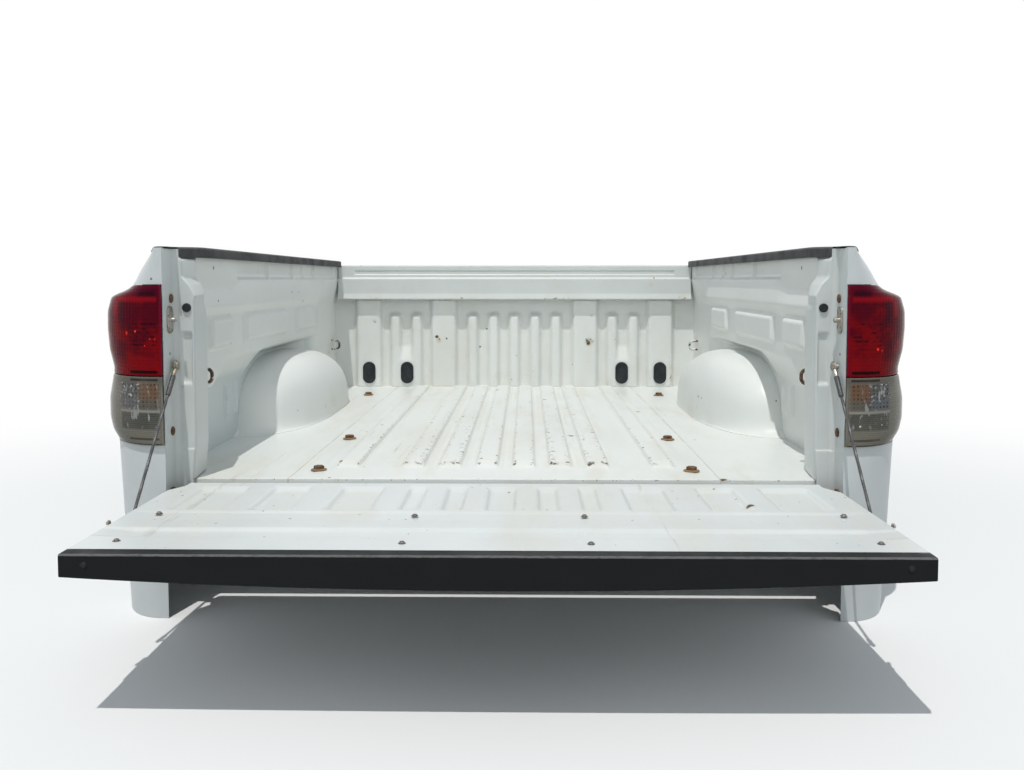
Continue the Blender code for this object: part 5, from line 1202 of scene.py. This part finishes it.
def red_optics(place):
    """Crimson above and redder below, crossed by fine dark lines: a dark top over a bright strip, dark dashes
    in the middle, a dark bulb outboard, sparks of red and a black line above the seam."""
    out, up = lamp_axes(place)
    cloud = noise(place, 24.0, 5.0)
    lines = most(band(waves(out, 0.0085), 0.60, 0.95), band(waves(up, 0.0085), 0.60, 0.95))
    ragged = band(noise(place, 60.0, 3.0, (1.0, 1.0, 2.0)), 0.42, 0.60)
    redder = band(cloud + (1.0 - band(up, 0.290, 0.390)) * 0.22, 0.46, 0.74)
    colour = mixed(redder, (0.098, 0.002, 0.010), (0.215, 0.003, 0.006))
    colour = mixed(lines * ragged * 0.45, colour, (0.060, 0.004, 0.012))
    colour = panes(colour, out, up, ((-0.1, 0.300, 0.438, 0.500, 0.003, 0.75, (0.085, 0.003, 0.016)),
                                     (0.012, 0.056, 0.431, 0.448, 0.004, 0.80, (0.025, 0.003, 0.010)),
                                     (0.010, 0.116, 0.423, 0.435, 0.003, 0.80, (0.300, 0.005, 0.012)),
                                     (0.116, 0.129, 0.390, 0.430, 0.003, 0.70, (0.270, 0.005, 0.012)),
                                     (0.092, 0.110, 0.376, 0.424, 0.004, 0.65, (0.050, 0.005, 0.016)),
                                     (0.010, 0.085, 0.268, 0.298, 0.006, 0.60, (0.250, 0.004, 0.008)),
                                     (0.120, 0.300, 0.250, 0.300, 0.012, 0.70, (0.120, 0.008, 0.008))))
    dashes = pane(out, up, 0.012, 0.082, 0.318, 0.376, 0.004, 0.003) * band(waves(up, 0.0095), 0.45, 0.75)
    colour = mixed(dashes * ragged * 0.85, colour, (0.030, 0.002, 0.006))
    bulb = pane(out, up, 0.090, 0.117, 0.290, 0.334, 0.008, 0.010)
    colour = mixed(bulb * 0.7, colour, (0.060, 0.003, 0.012))
    spark = specks(place, 80.0, 0.26, 0.38, 0.003) * pane(out, up, 0.016, 0.088, 0.296, 0.366, 0.004, 0.006)
    colour = mixed(spark, colour, (1.0, 0.050, 0.030))
    colour = panes(colour, out, up, ((0.011, 0.080, 0.2595, 0.2665, 0.0012, 0.95, (0.012, 0.002, 0.003)),
                                     (-0.1, 0.300, 0.250, 0.2575, 0.0010, 0.60, (0.280, 0.005, 0.010)),
                                     (-0.1, 0.0045, 0.250, 0.500, 0.0010, 0.70, (0.190, 0.006, 0.024))))
    haze = band(noise(place, 40.0, 8.0, (0.4, 1.0, 1.0), 0.7), 0.56, 0.78)
    return {"Base Color": mixed(haze * 0.012, colour, (0.30, 0.12, 0.14)), "Roughness": 0.08 + haze * 0.25,
            "Normal": relief(lines + spark, 0.00025)}


def clear_optics(place):
    """Grey glass in a tan border: dark line under the seam, a grid of dark dashes over an amber bowl inboard
    and a silver one outboard, a pale bar, then dark glass with fine level ribs and white glints, and two dark
    lines below."""
    out, up = lamp_axes(place)
    ribs = waves(up, 0.0046)
    ragged = band(noise(place, 55.0, 3.0), 0.40, 0.62)
    dust = band(noise(place, 14.0, 5.0), 0.45, 0.75)
    border = mixed(band(up, 0.215, 0.250), (0.21, 0.200, 0.165), (0.135, 0.125, 0.105))
    ribbed = band(ribs, 0.30, 0.80) * 0.35 * window(out, 0.008, 0.130, 0.008)
    colour = mixed(ribbed, border, (0.095, 0.09, 0.08))
    glint = band(noise(place, 120.0, 3.0, (1.0, 1.0, 1.5)), 0.56, 0.68)
    silver = mixed(glint, (0.11, 0.113, 0.11), (0.62, 0.62, 0.60))
    colour = mixed(pane(out, up, 0.052, 0.108, 0.178, 0.238, 0.006, 0.003), colour, silver)
    colour = panes(colour, out, up, ((0.009, 0.056, 0.196, 0.238, 0.006, 0.85, (0.17, 0.080, 0.042)),
                                     (0.009, 0.056, 0.176, 0.199, 0.006, 0.80, (0.105, 0.094, 0.078)),
                                     (0.058, 0.108, 0.176, 0.205, 0.006, 0.60, (0.14, 0.155, 0.17)),
                                     (0.007, 0.108, 0.131, 0.170, 0.004, 0.75, (0.075, 0.078, 0.072))))
    sway = noise(place, 45.0, 2.0) * 0.008
    dash = band(waves(out + sway, 0.0094), 0.40, 0.70) * band(waves(up + sway, 0.0098), 0.35, 0.70)
    bowls = pane(out, up, 0.009, 0.106, 0.179, 0.237, 0.003, 0.002)
    colour = mixed(dash * (0.35 + 0.65 * ragged) * bowls, colour, (0.035, 0.030, 0.026))
    low = pane(out, up, 0.010, 0.104, 0.132, 0.169, 0.004, 0.003)
    colour = mixed(low * band(ribs, 0.35, 0.70) * 0.6, colour, (0.045, 0.047, 0.043))
    spark = specks(place, 110.0, 0.16, 0.30, 0.002) * pane(out, up, 0.016, 0.090, 0.140, 0.168, 0.004, 0.003)
    colour = mixed(spark, colour, (0.95, 0.95, 0.93))
    streak = band(noise(place, 34.0, 3.0, (2.6, 2.6, 0.7)), 0.585, 0.66)
    streak = streak * pane(out, up, 0.012, 0.104, 0.136, 0.236, 0.006)
    colour = mixed(streak * 0.6, colour, (0.50, 0.51, 0.50))
    colour = panes(colour, out, up, ((0.006, 0.110, 0.1705, 0.1755, 0.0010, 0.80, (0.34, 0.33, 0.30)),
                                     (0.010, 0.080, 0.2425, 0.2480, 0.0012, 0.95, (0.028, 0.024, 0.020)),
                                     (0.009, 0.085, 0.1065, 0.1115, 0.0012, 0.85, (0.055, 0.047, 0.038)),
                                     (0.004, 0.140, 0.0950, 0.0985, 0.0010, 0.85, (0.045, 0.040, 0.033)),
                                     (0.0045, 0.0060, 0.094, 0.253, 0.0008, 0.70, (0.10, 0.09, 0.075))))
    return {"Base Color": mixed(dust * 0.20, colour, (0.25, 0.22, 0.17)), "Roughness": 0.10 + dust * 0.25,
            "Normal": relief(ribs * 0.5 + dash + spark, 0.0003)}


red_acrylic = finish("red_acrylic", red_optics, Specular_IOR_Level=0.03)
clear_acrylic = finish("clear_acrylic", clear_optics, Specular_IOR_Level=0.08)
LENSES = (("red", LAMP_SEAM + SEAM_GAP, LAMP_H[1] - LAMP_HEAD_GAP, red_acrylic),
          ("clear", LAMP_H[0] + LAMP_FOOT_GAP, LAMP_SEAM - SEAM_GAP, clear_acrylic))
for side, sign in SIDES:
    for name, low, high, acrylic in LENSES:
        form = turned_over(facing(mirrored(lens_form(low, high), sign), (sign * 0.79, 0.1, 0.25)))
        piece(f"{side}_{name}_lamp", [form], acrylic, "bed", [f"{side}_{name}_lens"],
              LENS_GAUGE)
dress([f"{side}_lamp_housing" for side, sign in SIDES], rail_plastic)

# Tailgate inner panel
# A pressing with a sunk field of short ribs by the hinge and a long channel near the free edge, held on by
# eight screws. White paint, dragged over by loads: yellow film, fine lines along the bed and dark specks.
HINGE_Y, HINGE_H = -0.040, -0.032
GATE_TOP, GATE_HALF, GATE_ROUND = 0.032, 0.755, 0.006
NECK_HALF, NECK_S = 0.730, (0.045, 0.070)
GATE_CAP_S = 0.547
GATE_RIBS = ((0.055, 0.046), (0.147, 0.046), (0.240, 0.056), (0.400, 0.070), (0.550, 0.056))
GATE_RIB_SIDE = 0.006
FIELD_EDGE_X = ((0.690, 0.0), (0.682, 1.0))
FIELD_S, FIELD_DEPTH = (0.058, 0.240), 0.009
CREASE_S, CREASE_DEPTH = (0.276, 0.330), 0.003
CHANNEL_S, CHANNEL_DEPTH = (0.408, 0.452), 0.006
PANEL_S = (0.0, 0.034, *FIELD_S[:1], 0.080, 0.150, *FIELD_S[1:], 0.252, 0.268, *CREASE_S, 0.398, *CHANNEL_S,
           0.462, 0.500, GATE_CAP_S - FIT)
GATE_SCREWS = ((0.69, -0.335), (0.17, -0.346), (0.69, -0.536), (0.17, -0.544))
# Painted shade: the gate's white is a darker, cooler copy of the bed's white, standing for dimmer light on
# the gate.
GATE_SHADED_WHITE = (0.69, 0.72, 0.715)
GATE_MARKS = ((-0.30, -0.33, 0.0, 0.10, 0.30), (0.28, -0.14, 0.0, 0.10, 0.25), (0.05, -0.52, 0.0, 0.12, 0.30))


def gate(x, s, a):
    """Tailgate places (across, along from the hinge axis, above it) in bed coordinates, the gate down."""
    return spread(x, HINGE_Y - s, HINGE_H + a)


def gate_half(s):
    """Half width of the tailgate: it narrows by the hinge cups."""
    return np.interp(s, NECK_S, (NECK_HALF, GATE_HALF))


def gate_panel_form():
    """Stations across the ribs' feet and edges, runs along the field, crease and channel; corners rounded."""
    feet = list(FIELD_EDGE_X)
    for centre, width in GATE_RIBS:
        for edge in (-1, 1):
            feet += [(centre + edge * width / 2, 0.0), (centre + edge * (width / 2 + GATE_RIB_SIDE), 1.0)]
    feet = np.array(sorted(feet))
    x = np.concatenate([[-GATE_HALF], -feet[::-1, 0], feet[:, 0], [GATE_HALF]])[:, None]
    field = np.concatenate([[0.0], feet[::-1, 1], feet[:, 1], [0.0]])[:, None]
    s = np.array(PANEL_S)[None, :]
    inside = np.abs(x) <= FIELD_EDGE_X[0][0]

    def along_run(run):
        return (s >= run[0]) & (s <= run[1])

    sunk = FIELD_DEPTH * field * along_run(FIELD_S) + CHANNEL_DEPTH * inside * along_run(CHANNEL_S)
    sunk = sunk + CREASE_DEPTH * inside * along_run(CREASE_S)
    reach = np.where(np.abs(x) >= GATE_HALF, np.sign(x) * gate_half(s), x)
    return grid(softened(softened(gate(reach, s, GATE_TOP - sunk), GATE_ROUND), GATE_ROUND, axis=0))


def pan_screw(x, y):
    """Rings about the Z axis: washer, then a low domed head with a sunk drive in its middle."""
    radii = (0.0, 0.0070, 0.0072, 0.0070, 0.0052, 0.0050, 0.0046, 0.0036, 0.0030, 0.0028, 0.0)
    height = (0.0, 0.0, 0.0004, 0.0009, 0.0010, 0.0022, 0.0034, 0.0041, 0.0041, 0.0024, 0.0024)
    return lathe((x, y, 0.0), 2, radii, height, 36)


def grey_plating(place):
    """Dull plating under a dark grey film."""
    made = dull_plating(place)
    film_and_shade = band(noise(place, 60.0, 3.0), 0.10, 0.45) * 0.7
    made["Base Color"] = mixed(film_and_shade, made["Base Color"], (0.085, 0.085, 0.095))
    return made


def peppered_paint(place):
    """Worn paint with fine dark specks scattered over it."""
    made = worn_paint(0.28, 0.10, 0.7, GATE_MARKS, base=GATE_SHADED_WHITE)(place)
    fine = specks(place, 60.0, 0.22, 0.19, 0.004)
    made["Base Color"] = mixed(fine * 0.8, made["Base Color"], (0.10, 0.075, 0.055))
    return made


gate_paint = finish("gate_paint", peppered_paint, Specular_IOR_Level=0.35)
form = facing(gate_panel_form(), (0.0, -0.3, 1.0))
piece("gate_panel", [form], gate_paint, "tailgate", ["tailgate_inner_panel"], SHEET)
screws = [pan_screw(sign * x, y) for x, y in GATE_SCREWS for side, sign in SIDES]
piece("gate_screws", screws, finish("screw_steel", grey_plating), "tailgate")

# Tailgate outer panel
# The gate's crowned outer skin, rolled round the hinge end and up the sides, with a notch for the handle's
# garnish. Gloss white paint, kept cleaner than the inside.
GARNISH_HALF, GARNISH_S = 0.190, 0.388
HINGE_ROUND, HINGE_ARC, HINGE_ROWS = 0.030, (110.0, 250.0), 19
GATE_END_S, SKIN_END_DEPTH = 0.582, 0.009
CROWN, CROWN_S = 0.021, (0.0, 0.160)
WALL_LEAST_S = -0.010


def gate_skin(x, s):
    """Height of the outer skin, below the hinge axis: a slight taper and a crown across it."""
    crown = CROWN * (1.0 - (x / GATE_HALF) ** 2) * np.interp(s, CROWN_S, (0.0, 1.0))
    return -(np.interp(s, (0.0, GATE_END_S), (HINGE_ROUND, SKIN_END_DEPTH)) + crown)


def gate_skin_form():
    """Columns across the gate with a wall at each end, rows round the hinge and along the crowned skin."""
    arc = np.radians(np.linspace(*HINGE_ARC, HINGE_ROWS))
    s = np.concatenate([HINGE_ROUND * np.cos(arc), [0.020], np.linspace(*NECK_S, 6),
                        np.linspace(0.09, GARNISH_S, 16), np.linspace(0.41, GATE_CAP_S - FIT, 7)])[None, :]
    round_a = np.concatenate([HINGE_ROUND * np.sin(arc), np.zeros(s.shape[1] - HINGE_ROWS)])[None, :]
    bent = (np.arange(s.shape[1]) < HINGE_ROWS)[None, :]
    notch_share = GARNISH_HALF / GATE_HALF
    share = np.unique(np.concatenate([np.linspace(-1.0, 1.0, 41), [-notch_share, notch_share]]))[:, None]
    x = share * np.where(np.abs(share) < notch_share + 1e-6, GATE_HALF, gate_half(s))
    skin = gate(x, s, np.where(bent, round_a, gate_skin(x, s)))
    walls = [gate(x[end], np.maximum(s[0], WALL_LEAST_S), GATE_TOP - SHEET - FIT)[None] for end in (0, -1)]
    for wall, end in zip(walls, (0, -1)):
        wall[0, 0] = skin[end, 0]
    points = np.concatenate([walls[0], skin, walls[1]])
    middle_x = np.abs(points[:-1, :-1, 0] + points[1:, :-1, 0]) / 2
    notch = (middle_x < GARNISH_HALF - 1e-4) & ((s[:, :-1] + s[:, 1:]) / 2 > GARNISH_S)
    return grid(points, keep=~notch)


form = turned_over(facing(gate_skin_form(), (0.0, -0.3, -0.02)))
piece("gate_skin", [form], outer_paint, "tailgate", ["tailgate_outer_panel"], SHEET)

# Tailgate top cap
# A moulded cap over the gate's free edge, deeper in the middle where the skin is crowned. Navy-black plastic,
# its top edge rubbed pale by hands and loads.
# Its pale top edge is partly rubbing and partly a painted sheen on upward edges.
CAP_GAUGE, CAP_ROUND = 0.003, 0.0015
CAP_BREAK_S, CAP_CORNER_S, CAP_CORNER = 0.573, 0.5795, 0.0025
CLIP_X, CLIP_FACE_Y, CLIP_FACE_H, CLIP_RADIUS = 0.711, -0.622, -0.020, 0.0085


def cap_form():
    """Stations across with closed ends, and a path round the edge from the inner panel to the skin."""
    x = np.concatenate([[-GATE_HALF], np.linspace(-GATE_HALF, GATE_HALF, 31), [GATE_HALF]])[:, None]
    low = gate_skin(x, GATE_END_S)
    s = np.array([GATE_CAP_S, CAP_BREAK_S, CAP_CORNER_S, GATE_END_S, GATE_END_S, CAP_CORNER_S, GATE_CAP_S])
    s = np.repeat(s[None, :], len(x), axis=0)
    s[[0, -1]] = GATE_CAP_S
    top = np.array([GATE_TOP, GATE_TOP, GATE_TOP, GATE_TOP - CAP_CORNER])[None, :] + 0.0 * x
    a = np.concatenate([top, low + CAP_CORNER, low, low], axis=1)
    return grid(softened(gate(x, s, a), CAP_ROUND))


def clipped_plastic(place):
    """Faded plastic with a small domed clip pressed into the face near each end, its lighter tint a painted
    highlight.
    """
    made = faded_plastic((0.0115, 0.0128, 0.0140), 0.6)(place)
    clip = bells(place, [(sign * CLIP_X, CLIP_FACE_Y, CLIP_FACE_H, CLIP_RADIUS, 1.0) for side, sign in SIDES])
    # Painted highlight: the clip's lighter tint stands for the light on its black dome.
    made["Base Color"] = mixed(clip * 0.6, made["Base Color"], (0.040, 0.048, 0.056))
    made["Normal"] = relief(clip, 0.004)
    return made


cap_plastic = finish("cap_plastic", clipped_plastic, Specular_IOR_Level=0.10)
form = turned_over(facing(cap_form(), (0.0, -0.50, -0.025)))
piece("gate_cap", [form], cap_plastic, "tailgate", ["tailgate_top_cap"], CAP_GAUGE)

# Hinges and cable studs
# Turned trunnions bolted to the jambs, pressed cups on the gate that turn on them, and a shoulder stud at
# each side for the cable's lower eye. Steel, rusty where the plating has gone.
HINGE_PARTS = ("hinge_trunnion", "hinge_cup")
dress([f"{side}_{name}" for name in HINGE_PARTS for side, sign in SIDES], rusty_steel, SMALL_ROUND)
for side, sign in SIDES:
    stud = stud_form(sign * (GATE_HALF + FIT), sign, *CABLE_BOTTOM[1:], 0.0125)
    piece(f"{side}_lower_stud", [stud], plated_steel, "tailgate", [f"{side}_cable_stud"])

# Handle and its garnish
# A moulded garnish let into the outer skin up to the cap, with a dish for the fingers and a paddle on a
# barrel across it. Black plastic, greyed by weather.
GARNISH_GAUGE, GARNISH_ROUND = 0.0025, 0.003
DISH_HALF, DISH_S, DISH_DEPTH, DISH_WALL = 0.1017, (0.4053, 0.4707), 0.024, 0.0005
GARNISH_X = (DISH_HALF - DISH_WALL, DISH_HALF + DISH_WALL, 0.1300, 0.1600, GARNISH_HALF - FIT)
BARREL_S, BARREL_HALF, BARREL_RADIUS = 0.4635, 0.1009, 0.005
PADDLE_S, PADDLE_ROUND = (0.420, 0.430), 0.0022
PADDLE_X = np.array([-0.086, -0.086, -0.0852, -0.083, 0.083, 0.0852, 0.086, 0.086])
PADDLE_SHARE = np.array([0.0, 0.84, 0.95, 1.0, 1.0, 0.95, 0.84, 0.0])


def garnish_form():
    """Stations across and along the garnish: it follows the skin and drops by walls into a flat dish."""
    across = np.array(GARNISH_X)
    x = np.concatenate([-across[::-1], across])[:, None]
    walls = [edge + side * DISH_WALL for edge in DISH_S for side in (-1, 1)]
    s = np.array([GARNISH_S + FIT, *walls, 0.510, GATE_CAP_S - FIT])[None, :]
    dish = (np.abs(x) < DISH_HALF) & (s > DISH_S[0]) & (s < DISH_S[1])
    level = gate_skin(0.105, DISH_S[1] + DISH_WALL) + DISH_DEPTH
    controls = gate(x, s, np.where(dish, level, gate_skin(x, s)))
    return grid(softened(softened(controls, GARNISH_ROUND), GARNISH_ROUND, axis=0))


def paddle_form():
    """A closed section with rounded corners, swept across and drawn in at both ends, and its barrel."""
    tip, root = PADDLE_S
    axis_a = float(gate_skin(0.0, 0.438)) + 0.006
    skin = float(gate_skin(0.0, tip))
    corners = np.array([(tip, skin + 0.001), (root, skin), (BARREL_S, axis_a - 0.0045),
                        (BARREL_S, axis_a + 0.0045), (root, skin + 0.007), (tip, skin + 0.011)])
    seam = (corners[:1] + corners[-1:]) / 2
    outline = np.pad(np.concatenate([seam, corners, seam]), ((0, 0), (0, 1)))
    outline = softened(outline[None], PADDLE_ROUND)[0, :, :2]
    middle = corners.mean(axis=0)
    section = middle + PADDLE_SHARE[:, None, None] * (outline[None] - middle)
    paddle = outward(grid(gate(PADDLE_X[:, None], section[:, :, 0], section[:, :, 1])))
    route = gate(np.linspace(-BARREL_HALF, BARREL_HALF, 9), BARREL_S, axis_a)
    return [paddle, sweep(route, BARREL_RADIUS, up=(0.0, 0.0, 1.0))]


form = facing(garnish_form(), (0.0, -0.45, -1.0))
piece("handle_garnish", [form], rail_plastic, "tailgate", ["handle_bezel"], GARNISH_GAUGE)
piece("handle_paddle", paddle_form(), rail_plastic, "handle", ["tailgate_handle"])

# Latches
# Steel rods run inside the gate from the handle to a latch at each side: a plate on the gate's wall with a
# claw on a pivot pin. Plated steel, dull and rusty.
LATCH_ROUND = 0.0005
LATCH_PARTS = ("latch_rod", "latch_plate", "latch_claw")
dress([f"{side}_{name}" for side, sign in SIDES for name in LATCH_PARTS], plated_steel, LATCH_ROUND)

# Stage and light
# A pale studio floor that fades to white, a lamp high behind the camera and to its left, and a sky that is
# brighter behind the camera. Both show white, but light the bed less than that.
FLOOR_REACH, FLOOR_GAP, FADE = 30.0, 0.0005, (1.8, 4.0)
FLOOR_WHITE, FLOOR_LIGHT = (0.86, 0.86, 0.86, 1.0), (0.36, 0.36, 0.35, 1.0)
SKY_FRONT, SKY_BEHIND = (0.350, 0.395, 0.43), (0.62, 0.66, 0.69)
LAMP_SIZE, LAMP_WATTS, LAMP_COLOUR = 0.45, 10400.0, (1.0, 0.985, 0.955)
LAMP_AIM, LAMP_FAR, LAMP_CENTRE = np.array([-0.090, -0.330, 0.93]), 40.0, (0.0, 0.8, 0.2)


def seen_rays(tree):
    """1 for the rays that show a surface as it looks: camera, glossy and transmission rays."""
    paths = Flow(tree).node("ShaderNodeLightPath", out="Is Camera Ray")
    return most(paths, paths.beside("Is Glossy Ray"), paths.beside("Is Transmission Ray"))


bpy.context.scene.view_settings.view_transform = "Standard"
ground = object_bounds()[0][2] - FLOOR_GAP
mesh = bpy.data.meshes.new("studio_floor")
corners = [(x * FLOOR_REACH, y * FLOOR_REACH, ground) for x, y in ((-1, -1), (1, -1), (1, 1), (-1, 1))]
mesh.from_pydata(corners, [], [(0, 1, 2, 3)])
studio_floor = bpy.data.objects.new("studio_floor", mesh)
bpy.context.scene.collection.objects.link(studio_floor)
floor_grey = bpy.data.materials.new("studio_grey")
floor_grey.use_nodes = True
tree = floor_grey.node_tree
shader = tree.nodes["Principled BSDF"]
shader.inputs["Base Color"].default_value = FLOOR_WHITE
shader.inputs["Roughness"].default_value = 0.9
place = Flow(tree).node("ShaderNodeTexCoord", out="Object")
far = band(place.node("ShaderNodeVectorMath", {0: place}, out="Value", operation="LENGTH"), *FADE)
white = place.node("ShaderNodeEmission", {"Color": (1.0, 1.0, 1.0, 1.0), "Strength": 1.0})
dim = place.node("ShaderNodeBsdfDiffuse", {"Color": FLOOR_LIGHT})
shade = place.node("ShaderNodeMixShader", {0: far, 1: Flow(tree, shader.outputs[0]), 2: white})
shade = place.node("ShaderNodeMixShader", {0: seen_rays(tree), 1: dim, 2: shade})
tree.links.new(shade.socket, tree.nodes["Material Output"].inputs["Surface"])
mesh.materials.append(floor_grey)

world = bpy.data.worlds.new("sky")
bpy.context.scene.world = world
world.use_nodes = True
tree = world.node_tree
heading = Flow(tree).node("ShaderNodeTexCoord", out="Generated")
behind = band(-heading.node("ShaderNodeSeparateXYZ", {0: heading}, out="Y"), 0.0, 0.8)
light = mixed(behind, SKY_FRONT, SKY_BEHIND)
sky = mixed(seen_rays(tree), light, (1.0, 1.0, 1.0))
tree.links.new(sky.socket, tree.nodes["Background"].inputs["Color"])

lamp = bpy.data.lights.new("key", "AREA")
lamp.shape = "DISK"
lamp.size = LAMP_SIZE
lamp.energy = LAMP_WATTS
lamp.color = LAMP_COLOUR
key = bpy.data.objects.new("key", lamp)
key.location = LAMP_CENTRE + LAMP_FAR * LAMP_AIM / np.linalg.norm(LAMP_AIM)
key.rotation_euler = Vector(LAMP_AIM).to_track_quat("Z", "Y").to_euler()
bpy.context.scene.collection.objects.link(key)
